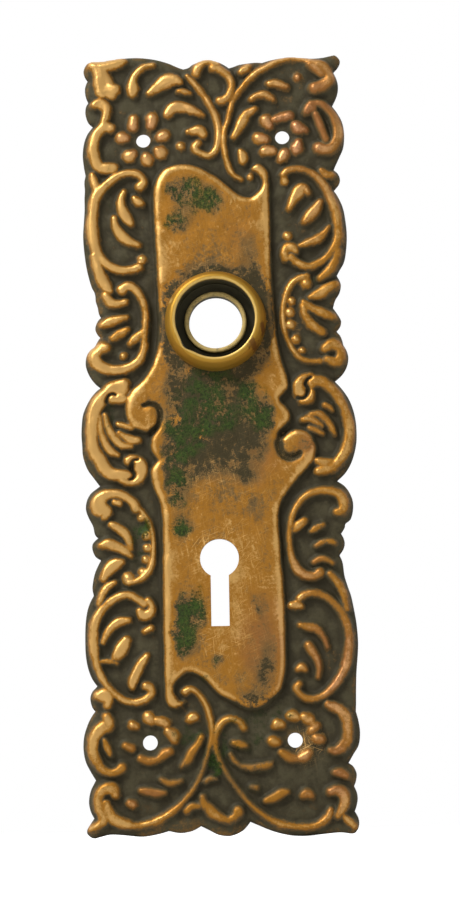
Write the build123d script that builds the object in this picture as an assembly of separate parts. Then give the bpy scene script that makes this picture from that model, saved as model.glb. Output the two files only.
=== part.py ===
from build123d import *
from math import atan2, ceil, cos, hypot, pi, sin
import os

# Door backplate: a pressed bronze sheet with a turned-down scalloped rim, a raised panel and scroll relief,
# and a brass knob collar that is swaged through it. The knob axis is the origin, at the plane of the door.
# Z runs up the plate, X to its right, and the front faces -Y.

# Driving dimensions, in millimetres. Heights are measured from the plane of the door towards the front.
PLATE_WIDTH = 65.9         # across the widest lobes
PLATE_HEIGHT = 189.45      # from the top edge to the bottom edge
SHEET = 1.0                # thickness of the pressed sheet
GROUND = 2.2               # front of the ground between the ornaments
RIM_EDGE = 0.9             # height of the upright edge of the rim
RIM_LEAN = 0.25            # how far that edge leans in
RIM_ROLL = 1.3             # width of the rolled slope from that edge to the ground
HOLLOW_ROLL = 0.4          # lean of the rim's inner wall
PANEL_RISE = 1.6           # panel above the ground
PANEL_SLOPE = 0.35         # width of the slope at the foot of the panel
PANEL_EASE = 0.15          # width of the eased edge of the panel
PANEL_EASE_DEPTH = 0.5     # depth of that edge
CHANNEL_DEPTH = 0.6        # depth of the volute channels in the panel
BAND_RISE = 1.5            # broad scroll bands above the ground
STEM_RISE = 1.1            # slender stems above the ground
LEAF_RISE = 1.2            # leaves, petals and buds above the ground
BEAD_RISE = 1.0            # beads above the ground
DRAFT = 0.5                # how far an ornament's foot spreads beyond its crest
CREST = 0.8                # share of an ornament's half width that is flat at its crest
ROOT = 0.8                 # share of the sheet that an ornament's foot reaches into

SCREW_SPACING_X = 33.9     # screw holes, side to side
SCREW_TOP = 45.97          # upper screw holes above the knob axis
SCREW_BOTTOM = 99.96       # lower screw holes below the knob axis
SCREW_R = 1.75             # screw hole radius
KEY_DROP = 57.05           # round part of the keyhole below the knob axis
KEY_R = 4.6                # round part of the keyhole
KEY_SLOT_WIDTH = 4.3       # width of the slot under it
KEY_SLOT_END = 73.1        # foot of the slot below the knob axis

COLLAR_BORE_R = 9.525      # bore that carries the shank of the knob
COLLAR_BORE_END = 4.4      # end of that bore below the lip
COLLAR_RELIEF = 0.25       # groove under the bore, wider than it all round
COLLAR_WALL = 0.875        # wall of the collar where it passes through the plate
COLLAR_RISE = 4.4          # lip of the collar above the panel
COLLAR_BASE_R = 12.15      # foot of the collar on the panel
COLLAR_FOOT = 0.4          # upright part of that foot
COLLAR_LIP = 0.95          # width of the flat lip
COLLAR_EDGE = 0.3          # eased edges of the lip
COLLAR_BULGE = 0.45        # swell of the flank between foot and lip
COLLAR_BACK = 0.6          # back of the collar, clear of the door
COLLAR_FLOOR = 1.0         # thickness of the floor of its cup
SPINDLE_R = 6.4            # hole for the spindle in that floor
NECK_WALL = 1.1            # wall of the short neck round the spindle hole
NECK_DEPTH = 4.7           # top of that neck below the lip
SWAGE_WIDTH = 1.0          # collar rolled out behind the sheet
SWAGE_THICKNESS = 0.9      # thickness of that roll

# Extent of the drawing below, in millimetres; the plate's width and height stretch it.
DRAWN_WIDTH = 65.9
DRAWN_HEIGHT = 189.45

# Edge of the plate, clockwise from the top left: one run for each lobe, from its notch to the next.
OUTLINE = [
    [(-30.5, 61.7), (-31.25, 62.9), (-31.5, 64.2), (-31, 65.6), (-30, 66.4), (-27, 66.6),
     (-23.5, 67.1), (-19, 67.4), (-14.5, 66.9), (-11, 65.9), (-8.4, 64.7)],
    [(-7, 64.15), (-5.7, 64.5), (-4.6, 65.3), (-2.4, 66.15), (-0.5, 66.3), (1.7, 65.7), (3.2, 64.9)],
    [(4.25, 64.15), (5.5, 64.5), (7, 65), (10.4, 65.4)],
    [(12.4, 65.3), (14.5, 65.9), (17.5, 66.4), (20, 66.5), (24.2, 66.1), (27, 66.2), (29.1, 66.6),
     (30.4, 66.7), (31.5, 65.3), (31, 63.8)],
    [(29.8, 62.4), (30.6, 60.5), (30.9, 58.5), (30.5, 56.4)],
    [(29.3, 53.8), (30.6, 51.9), (31.7, 49.5), (32.1, 46.5), (31.8, 43.4), (30.7, 40.8), (29.8, 38.9)],
    [(29.3, 37.7), (30.3, 36.7), (30.8, 35.3), (30.5, 34.1), (29.8, 33.2)],
    [(29.2, 32.5), (30.2, 30.9), (31.3, 28.2), (31.85, 25), (32.1, 21.5), (31.9, 18), (31.3, 14.8),
     (30.1, 12.6)],
    [(29.4, 11.3), (30.1, 9.9), (30.35, 8.7), (29.9, 6.9), (28.9, 5.3)],
    [(28.3, 3.3), (29.1, 2.15), (29.8, 1), (30.2, -0.1), (29.9, -1.3)],
    [(29, -2.5), (29.9, -3.6), (30.4, -5), (30.6, -5.9), (31.3, -7.2), (31.7, -9), (31.3, -11.1),
     (30.1, -13.1)],
    [(28.3, -14.7), (29.8, -16.4), (31.4, -18.8), (32.4, -21.3), (33, -24), (33.2, -26.5),
     (33.1, -29.6), (32.5, -32.4), (31.6, -34.8), (30.2, -37)],
    [(28.25, -38.85), (30, -40.1), (31.2, -41.85), (31.9, -44), (31.8, -46.3), (31.2, -48.1),
     (30, -49.1), (29.8, -50)],
    [(28.9, -51.5), (29.5, -52.7), (29.7, -54), (29.3, -55.3)],
    [(28.4, -56.6), (29.1, -58.5), (29.45, -61.5), (30.2, -64.2), (30.9, -66.4), (31.5, -69.6),
     (32, -73), (32.25, -77), (32.1, -80.1), (31.7, -84.2), (31.5, -88.1), (31.4, -91.6)],
    [(31.3, -93.5), (31.85, -95.7), (32.15, -98.5), (31.75, -101.3), (30.5, -103.4)],
    [(29.3, -105.4), (30.4, -106.3), (31.1, -107.9), (30.9, -109.6)],
    [(30.45, -110.8), (31.05, -112.3), (31.2, -113.8), (30.85, -115.5)],
    [(30.45, -116.6), (31.2, -118), (31.4, -119.5), (30.9, -121), (29.8, -121.7), (27, -121.4),
     (23, -121.7), (18.8, -122.05), (15, -121.8), (11.5, -120.9), (8.6, -119.7)],
    [(6.1, -118.6), (5.5, -119.4), (4.3, -120.6), (2.5, -121.5), (0.7, -121.8), (-1.5, -121.4),
     (-3.6, -120.3)],
    [(-5.4, -119.4), (-6.8, -120.2), (-8.3, -120.7), (-10.4, -120.9)],
    [(-12.9, -120.4), (-15.5, -121.1), (-19.1, -121.6), (-23.2, -121.2), (-26.5, -121),
     (-28.9, -121.5), (-30.5, -121.8), (-31.8, -120.9), (-31.95, -119.8), (-31.1, -118.4)],
    [(-30.3, -117.2), (-31.1, -115.6), (-31.5, -113.4), (-31.1, -110.95), (-30.2, -109.1)],
    [(-29.85, -108.4), (-31.1, -106.3), (-32.2, -104), (-32.7, -101.1), (-32.5, -98.1), (-31.6, -95.3),
     (-30.6, -93.4)],
    [(-29.85, -92.4), (-30.6, -91.3), (-31, -89.4), (-30.6, -87.9), (-29.8, -87)],
    [(-29.35, -86.5), (-30.6, -84.6), (-31.5, -82.1), (-32, -79.1), (-32.1, -75.6), (-32, -72),
     (-31.6, -69), (-30.9, -66.8)],
    [(-30, -65.1), (-30.3, -63.4), (-30.1, -61.6), (-29.65, -59.7), (-28.9, -58)],
    [(-28.2, -56.7), (-29.5, -55.8), (-30.2, -54.2), (-30.2, -52.9), (-29.65, -52.1)],
    [(-28.85, -51.4), (-29.6, -50.5), (-30.05, -48.5), (-31.1, -46.4), (-31.7, -44.5), (-31.5, -42.5),
     (-30.7, -40.9), (-29.8, -40.05)],
    [(-28.3, -38.95), (-29.8, -36.9), (-31.3, -34.7), (-32.3, -31.7), (-32.5, -29), (-32.65, -25.9),
     (-32.35, -22.1), (-31.6, -19.8), (-30.35, -17.5), (-29, -15.9)],
    [(-27.95, -15.1), (-29.4, -13.8), (-30.7, -11.9), (-31.4, -10), (-31.5, -8.5), (-31.15, -6.9),
     (-30.3, -5.7), (-29.3, -4.9), (-28.5, -3.5)],
    [(-27.9, -2.7), (-28.6, -1.9), (-29.1, -0.8), (-28.95, 0.4), (-28.4, 1.5)],
    [(-27.7, 2.2), (-28.2, 3.1), (-28.5, 4.7), (-28.95, 6.2), (-29.05, 7.5), (-29.3, 8.6),
     (-29.95, 9.9), (-30.6, 12.2), (-31.2, 15), (-31.7, 19), (-31.9, 22.6), (-31.7, 26), (-31.5, 29),
     (-31.5, 32), (-31.4, 34), (-31.5, 36)],
    [(-31.2, 37.75), (-31.6, 40), (-31.85, 43), (-31.5, 45.9), (-30.65, 48.2)],
    [(-29.3, 50), (-30.5, 51.3), (-31.1, 53.2), (-31, 55)],
    [(-30.4, 56.2), (-31, 57.7), (-31.2, 59.5), (-30.9, 60.9)],
]

# Edge of the raised panel, clockwise from its top hook, one run from corner to corner.
PANEL = [
    [(9.1, 37.7), (10, 38.6), (11, 39), (12.2, 38.3), (13.15, 36.9), (13.4, 35), (13.4, 30),
     (13.5, 20), (13.5, 14), (13.7, 8), (13.8, 4), (14.1, 0), (14.3, -3), (15, -7), (15.7, -10),
     (16.5, -12.6), (17, -15), (16.85, -16.5), (15.8, -17.6)],
    [(14.9, -18.8), (15.3, -20), (16.3, -21), (17.2, -22.4), (17.3, -24), (16.5, -25), (15.6, -26),
     (14.65, -27.6)],
    [(16, -27.9), (17.1, -27.2), (18.9, -26.6), (21, -27), (22.5, -28.4), (23.3, -30.5), (23.2, -32),
     (22.5, -34.2), (20.8, -36.1), (18.9, -38.2), (17.3, -40.2), (15.9, -42.1), (14.65, -44.4),
     (14.1, -47), (14.1, -50.2), (14.4, -55), (14.65, -60), (14.9, -65.2), (15.1, -70), (15.15, -80),
     (15, -83.5), (14.5, -86), (13.85, -88.1), (12.2, -90), (10, -91.7), (8, -92.5), (6, -92.4),
     (4, -91.6), (2, -90.4), (-0.1, -89.3), (-1.5, -88), (-4, -85.3), (-6.2, -84), (-8.2, -83.8),
     (-9.9, -85), (-11, -86.2), (-11.35, -88), (-11, -89.3), (-10, -90.6)],
    [(-8.7, -90.5), (-9.7, -91.4), (-11, -91.95), (-12.4, -91.4), (-13.15, -89.5), (-13.3, -85),
     (-13.3, -70), (-13.3, -60), (-13.2, -50), (-13.3, -47.4), (-13.6, -44.2), (-14.2, -42.3),
     (-15, -40.5), (-15.7, -38.2), (-15.9, -36.3), (-15.5, -34.9)],
    [(-14.2, -33.3), (-15.5, -31.2), (-15.9, -29.8), (-15.7, -28), (-15, -26.6), (-14.1, -24.9)],
    [(-16.5, -26.2), (-17.6, -26.2), (-19.4, -25.5), (-20.8, -24.3), (-21.6, -22.8), (-21.8, -21),
     (-21.6, -19), (-21.1, -17.7), (-20.1, -16.1), (-18, -14.2), (-16.4, -12.2), (-15.2, -9.9),
     (-14.1, -6.6), (-13.6, -3.9), (-13.5, 0), (-13.6, 5), (-13.7, 10), (-14.2, 20), (-14.5, 28),
     (-14.4, 33), (-13.5, 36), (-12, 38), (-9.9, 39), (-7.2, 39.4), (-4.2, 38.8), (-1.6, 37.4),
     (0.5, 36.1), (3, 34), (6, 31.5), (8.3, 30.7), (9.9, 31.2), (11.3, 32.5), (12, 34.2), (11.5, 35.9),
     (10.5, 37)],
]

# Dark channels that part each volute of the panel from its body: x, y and half the width.
CHANNELS = {
    "right volute": [(15.5, -27.3, 0.7), (14.8, -29, 0.7), (14.7, -31, 0.7), (15.5, -32.6, 0.7),
         (17.1, -33.3, 0.7), (18.8, -32.8, 0.6), (19.5, -32.3, 0.4)],
    "left volute": [(-15.5, -26.4, 0.4), (-14.3, -25, 0.4), (-13.6, -23, 0.4), (-13.7, -21.3, 0.4),
         (-14.6, -20.1, 0.4), (-16, -19.6, 0.4), (-17.6, -20, 0.3)],
}

# Broad scroll bands of the border: x, y and half the width of the crest at each point of the line.
BANDS = {
    "top left corner stem": [(-29.3, 65.9, 0.5), (-28.2, 64.8, 0.9), (-27.4, 62.5, 1.1),
        (-27.2, 60, 1.2), (-26.8, 58.2, 1.2)],
    "top left corner toe": [(-27, 58.3, 1.2), (-25.2, 58.9, 1.3), (-23.7, 58.8, 0.9)],
    "top left corner arm": [(-28.4, 65.2, 0.9), (-26, 65, 1.1), (-24, 65.6, 0.9), (-22.2, 66.3, 0.4)],
    "top left small roll": [(-28.9, 55, 0.4), (-27.4, 55.3, 1), (-26, 54.2, 0.9), (-25.9, 52.3, 0.6),
        (-26.5, 50.5, 0.4)],
    "top left c roll": [(-24.9, 49, 0.8), (-26.3, 49.3, 1), (-28.2, 47.6, 1), (-29.1, 44.5, 1),
        (-28.8, 41.5, 1), (-27.5, 39.2, 1), (-25.8, 38.9, 1.1), (-24.3, 38.9, 1)],
    "top centre arch": [(-3.8, 62.4, 0.7), (-3.2, 64, 0.8), (-1.8, 65.3, 0.6), (-0.2, 65.4, 0.5),
        (1.2, 64.7, 0.6)],
    "top centre curl": [(0.3, 63.6, 0.5), (1.6, 63.4, 0.7), (3.2, 62.3, 0.6), (4.5, 60.6, 0.5),
        (4.8, 58.6, 0.55), (4.2, 56.6, 0.6), (3, 55.4, 0.7), (2, 55.2, 0.7)],
    "top right corner": [(24.4, 64.6, 0.4), (26.8, 63.7, 0.8), (28.6, 61.6, 0.9), (28.6, 59.7, 1.1),
        (26.9, 58.4, 1.3), (25.4, 57.9, 1.3)],
    "top right corner inner": [(24, 63.9, 0.3), (25.7, 62.9, 0.8), (26.9, 61.5, 0.7)],
    "top right c band": [(24.2, 54, 0.5), (26.5, 53.8, 0.6), (28.8, 51.9, 0.8), (30.3, 48.8, 0.9),
        (30.5, 46, 0.9), (29.6, 43.6, 0.8), (27.8, 42.4, 0.9), (26, 42.7, 1.2)],
    "top right c blob": [(23, 52, 0.6), (23.8, 53, 1), (24.6, 52.8, 0.7)],
    "top right c inner": [(25.3, 51.2, 0.5), (26.2, 48.9, 0.6), (27, 46.5, 0.5), (27.6, 44.8, 0.5)],
    "left upper c": [(-17.8, 34.2, 0.7), (-16.9, 35.2, 0.5), (-17.8, 36.8, 0.45), (-19.4, 37.5, 0.45),
        (-21.5, 37.5, 0.45), (-24, 36.4, 0.5), (-26.2, 34.6, 0.6), (-28, 32.6, 0.9), (-29, 30.6, 0.9),
        (-29.3, 28, 0.8), (-29.6, 25, 1), (-29.4, 22, 1), (-28.8, 19, 0.8), (-27.5, 16.5, 0.7),
        (-25.6, 14.6, 0.6), (-23.5, 13.6, 0.6), (-21.5, 13.3, 0.6), (-19.5, 13.6, 0.6),
        (-18.2, 14.1, 0.5)],
    "left upper tail": [(-29, 17, 0.6), (-28.3, 14.3, 0.8), (-27.3, 11.5, 1), (-26, 9.2, 0.8),
        (-25.2, 8.3, 0.3)],
    "right upper c": [(17, 36.2, 0.4), (18.2, 37.3, 0.4), (20, 37.6, 0.4), (22.2, 37.3, 0.4),
        (24.5, 36, 0.5), (26.4, 34, 0.6), (27.8, 31.4, 0.6), (28.7, 29, 0.7), (29.5, 26.4, 0.8),
        (29.9, 23.5, 0.8), (29.8, 20, 0.7), (28.7, 17.5, 0.65), (27, 15.3, 0.6), (25, 14, 0.6),
        (23, 13.2, 0.6), (21.3, 13.5, 0.6), (19.7, 14.4, 0.65), (18.6, 15.5, 0.7)],
    "right upper curl": [(17.2, 15.3, 0.5), (16.9, 16.8, 0.6), (17.6, 18, 0.8), (18.8, 17.9, 0.9),
        (19.6, 17.1, 0.5)],
    "right upper outer leaf": [(29.8, 17, 0.5), (28.7, 13.8, 0.8), (27, 11.5, 0.8), (25.3, 10.2, 0.3)],
    "left fan c": [(-22.5, 8.5, 0.9), (-21, 9.4, 0.7), (-19.5, 8.7, 0.6), (-18.2, 7, 0.55),
        (-17.2, 4.8, 0.5), (-16.8, 2.3, 0.4), (-16.9, 0, 0.4), (-17.1, -3, 0.4), (-17.3, -6, 0.5),
        (-18.2, -8.4, 0.6), (-20, -10.1, 0.7), (-22.5, -11, 0.8), (-25, -11.1, 0.9),
        (-27.5, -10.3, 1.1), (-29, -8.7, 1.3), (-29.1, -7, 1.4), (-28, -5.9, 1.3), (-26.5, -5.7, 0.9)],
    "right fan roll": [(26.2, -7, 0.8), (28, -6.2, 1.2), (29.6, -7, 1), (29.8, -8.8, 0.8),
        (28.8, -10.3, 0.9), (26.6, -9.7, 0.6)],
    "left middle band": [(-22.3, -14.6, 1), (-24.5, -15.6, 1.5), (-27, -17.3, 1.5),
        (-28.9, -19.8, 1.4), (-29.8, -23, 1.25), (-29.9, -27.8, 1.1), (-29.4, -30.5, 1.15),
        (-28.3, -32.4, 1.2), (-27, -34.7, 1.2), (-25.4, -36.2, 1.2), (-23, -36.6, 1.1),
        (-21.3, -36.9, 0.9)],
    "left middle curl end": [(-25.2, -18, 0.9), (-22.9, -18, 0.9)],
    "left middle low curl": [(-21.3, -33.3, 0.8), (-19.8, -32.9, 0.7), (-18.4, -34.2, 1),
        (-18.3, -36.2, 1.1), (-19.5, -37.8, 0.9), (-21.5, -38.3, 0.5), (-23, -37.9, 0.3)],
    "right middle band": [(21.9, -16, 0.9), (23.4, -14.9, 1.2), (25.4, -15.2, 1.1), (27.4, -16.8, 1),
        (29, -19, 0.95), (30.4, -21.8, 0.9), (31.3, -25, 0.95), (31.3, -28.4, 0.95),
        (30.4, -31.6, 0.9), (28.9, -34, 0.8), (27.2, -35.6, 0.6)],
    "right middle volute": [(22.4, -13.7, 0.6), (20.8, -14.3, 0.8), (19.6, -15.8, 1),
        (19.9, -17.6, 1.1), (20.9, -18.2, 0.7)],
    "right middle tail": [(20.4, -19.6, 0.4), (22, -19.2, 0.7), (22.6, -17.6, 0.5)],
    "right middle end a": [(23.8, -34.3, 0.5), (25.2, -34.7, 0.8), (26.8, -34.4, 0.4)],
    "right middle end b": [(27.4, -35.9, 0.5), (25.6, -36.2, 0.7), (23.8, -36.6, 0.5)],
    "left lower fan mass": [(-27.2, -46.6, 0.6), (-26.8, -45.3, 1.2), (-28.2, -44.4, 1.9),
        (-28.2, -42.6, 1.6), (-26.4, -41.3, 1), (-24, -41.2, 0.7), (-21.8, -42, 0.6),
        (-20.3, -43.4, 0.7), (-19.6, -44.8, 0.7)],
    "left lower c": [(-18, -67.4, 0.7), (-19.4, -66.4, 0.55), (-21.2, -65.4, 0.5), (-23.2, -65.4, 0.5),
        (-25.2, -66.3, 0.55), (-27, -67.8, 0.6), (-28.6, -69.7, 0.7), (-29.6, -72, 0.8),
        (-29.9, -75, 0.85), (-29.8, -78.2, 0.75), (-29.3, -81.4, 0.6), (-28.3, -84.2, 0.5),
        (-26.6, -86.8, 0.4), (-24.4, -89, 0.4), (-22, -90.3, 0.45), (-19.8, -90.5, 0.45),
        (-17.8, -89.8, 0.5), (-16.5, -88.5, 0.6), (-16.7, -87.2, 0.6), (-17.8, -86.8, 0.6)],
    "left lower volute": [(-17, -66.6, 0.3), (-16.2, -68, 0.5), (-16.6, -69.6, 0.7), (-18, -70.1, 0.9),
        (-19, -69.2, 0.5)],
    "left lower knob": [(-29.2, -88.6, 0.6), (-27.8, -88.7, 1.3), (-26.6, -89.4, 0.9),
        (-26.8, -91.2, 0.5)],
    "right lower fan c": [(28, -46.6, 0.6), (29.3, -46.2, 0.8), (29.6, -44.3, 0.9), (28.8, -42.5, 0.8),
        (26.8, -41.6, 0.65), (24.4, -41.4, 0.55), (22.2, -41.8, 0.45), (20.2, -42.9, 0.35),
        (18.6, -44.8, 0.3), (17.4, -47.2, 0.3), (16.8, -50, 0.3), (16.6, -53, 0.3), (16.8, -56, 0.35),
        (17.4, -58.2, 0.6), (18.6, -60.2, 0.7), (20.4, -61.4, 0.7), (22.2, -61.6, 0.7),
        (23.6, -60.9, 0.8)],
    "right lower fan spur": [(26, -61.3, 0.4), (27.4, -62.8, 0.6), (28.6, -64.8, 0.6),
        (29.3, -67, 0.5), (29.8, -69.6, 0.4)],
    "right lower c": [(18.6, -67, 0.4), (20.2, -65.9, 0.5), (22.2, -65.7, 0.5), (24.2, -66.3, 0.5),
        (26.2, -67.6, 0.55), (28, -69.6, 0.65), (29.3, -72, 0.65), (30, -74.8, 0.6),
        (30.1, -77.6, 0.6), (29.8, -80.4, 0.65), (29, -83.2, 0.65), (27.6, -85.8, 0.5),
        (25.8, -88, 0.45), (23.8, -89.7, 0.45), (21.6, -90.5, 0.45), (19.6, -90.2, 0.45),
        (18.2, -89.2, 0.4), (17.4, -87.9, 0.45), (18.2, -87, 0.4)],
    "bottom left c": [(-27, -93.8, 0.7), (-26.8, -95.6, 1.3), (-28.6, -96.8, 1.2), (-30, -98.8, 1.05),
        (-30.3, -101.2, 1), (-29.7, -103.6, 0.9), (-28.4, -105.6, 0.7), (-26.4, -106.8, 0.55),
        (-24.6, -106.4, 0.6), (-23.6, -105.7, 0.8)],
    "bottom left corner": [(-25.2, -111.8, 0.6), (-26, -110.4, 1.2), (-28, -110.8, 1),
        (-29.1, -112.6, 0.9), (-29, -114.8, 0.8), (-28, -117.2, 0.9), (-28.6, -118.4, 0.7),
        (-30.8, -119.4, 0.5)],
    "bottom left corner leaf": [(-27.4, -113.8, 0.5), (-27, -115.4, 0.9), (-25.8, -117.2, 1.1),
        (-23.8, -118.3, 0.9), (-22, -118.8, 0.6)],
    "bottom centre c": [(-4.9, -112.8, 0.4), (-4.6, -114.2, 0.6), (-3.4, -115.4, 0.8),
        (-2.2, -116.6, 0.9), (-0.4, -117.6, 0.5), (1.2, -118, 0.45), (2.6, -117.2, 0.6),
        (3.3, -116.2, 0.9)],
    "bottom right c": [(24.7, -91.8, 0.5), (26, -92.4, 0.8), (27.8, -93.4, 0.9), (28.9, -95.2, 1),
        (29.2, -97.6, 1), (28.9, -100, 0.95), (27.8, -101.8, 0.9), (26.2, -102.6, 0.6),
        (25.2, -102.5, 0.4)],
    "bottom right corner": [(24.8, -112, 0.5), (26.4, -111.7, 0.9), (27.9, -112.8, 1),
        (28, -114.6, 0.8), (27.2, -116.4, 0.6), (26.4, -117.6, 0.3)],
}

# Slender stems of the border: x, y and half the width of the crest at each point of the line.
STEMS = {
    "top left stem": [(-6, 61.8, 0.3), (-4.3, 60, 0.5), (-2.3, 57.2, 0.6), (-0.5, 54.3, 0.65),
        (0.8, 51.3, 0.7), (1.5, 48, 0.7), (1.3, 45, 0.65), (0.6, 42.8, 0.6), (-0.9, 41.6, 0.5),
        (-2.3, 41.9, 0.5), (-3.6, 42.6, 0.6), (-4.4, 43.7, 0.8), (-3.6, 44.8, 0.7)],
    "top right stem": [(27, 63, 0.5), (24.5, 64.7, 0.5), (22, 65.6, 0.5), (19, 65.7, 0.5),
        (16, 65, 0.5), (13, 63.4, 0.5), (11.1, 62.3, 0.5), (9, 60.5, 0.5), (7.4, 58.6, 0.5),
        (6, 56.7, 0.5), (5, 54.9, 0.5), (4.3, 52.5, 0.35), (3.7, 50, 0.35), (2.9, 47.6, 0.45),
        (2.7, 45, 0.45), (3, 42, 0.45), (3.4, 40, 0.45), (4.2, 37.7, 0.4), (5.2, 36.3, 0.3),
        (6.8, 35.4, 0.3)],
    "right fan c": [(22.3, 11, 0.5), (20.4, 10.6, 0.5), (18.9, 9.7, 0.5), (17.8, 8.2, 0.5),
        (17, 6.5, 0.5), (16.5, 4.5, 0.4), (16.2, 2, 0.35), (16.3, -1, 0.35), (17, -4, 0.35),
        (18.4, -7, 0.4), (20.2, -9.2, 0.4), (22.5, -10, 0.4), (25, -10, 0.4)],
    "left lower fan c": [(-18.8, -44.8, 0.3), (-17, -47.2, 0.3), (-15.9, -50.2, 0.3),
        (-15.6, -53.4, 0.3), (-15.8, -56.6, 0.4), (-16.4, -58.9, 0.6), (-17.8, -60.8, 0.6),
        (-19.8, -62, 0.5), (-21.6, -62.4, 0.5)],
    "bottom left stem": [(-22, -119, 0.5), (-19.4, -118.9, 0.5), (-16.6, -118.3, 0.5),
        (-13.8, -117.1, 0.55), (-11.2, -115.4, 0.55), (-9, -113.3, 0.5), (-7, -110.9, 0.45),
        (-5.4, -108.2, 0.4), (-4.2, -105, 0.35), (-3.2, -101.8, 0.4), (-2.5, -98.6, 0.45),
        (-2.6, -95.4, 0.4), (-3.3, -92.6, 0.4), (-4.4, -90.2, 0.35), (-5.9, -88.4, 0.3),
        (-7.4, -87.6, 0.35), (-8.6, -88.2, 0.6)],
    "bottom right stem": [(4.9, -96.9, 0.7), (4.2, -95.6, 0.6), (2.4, -94.7, 0.5), (0.4, -95.2, 0.5),
        (-1, -96.8, 0.55), (-1.7, -98.8, 0.6), (-1.6, -101.4, 0.6), (-0.8, -104.2, 0.5),
        (0.6, -107, 0.45), (2.4, -109.8, 0.45), (4.2, -112.2, 0.45), (6.2, -114.6, 0.4),
        (8.6, -116.6, 0.4), (11.4, -118.4, 0.45), (14.4, -119.5, 0.5), (17.6, -119.9, 0.55),
        (20.4, -119.9, 0.55), (22.6, -119.1, 0.6), (24.2, -117.6, 0.7), (24.9, -116.2, 0.5)],
}

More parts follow.
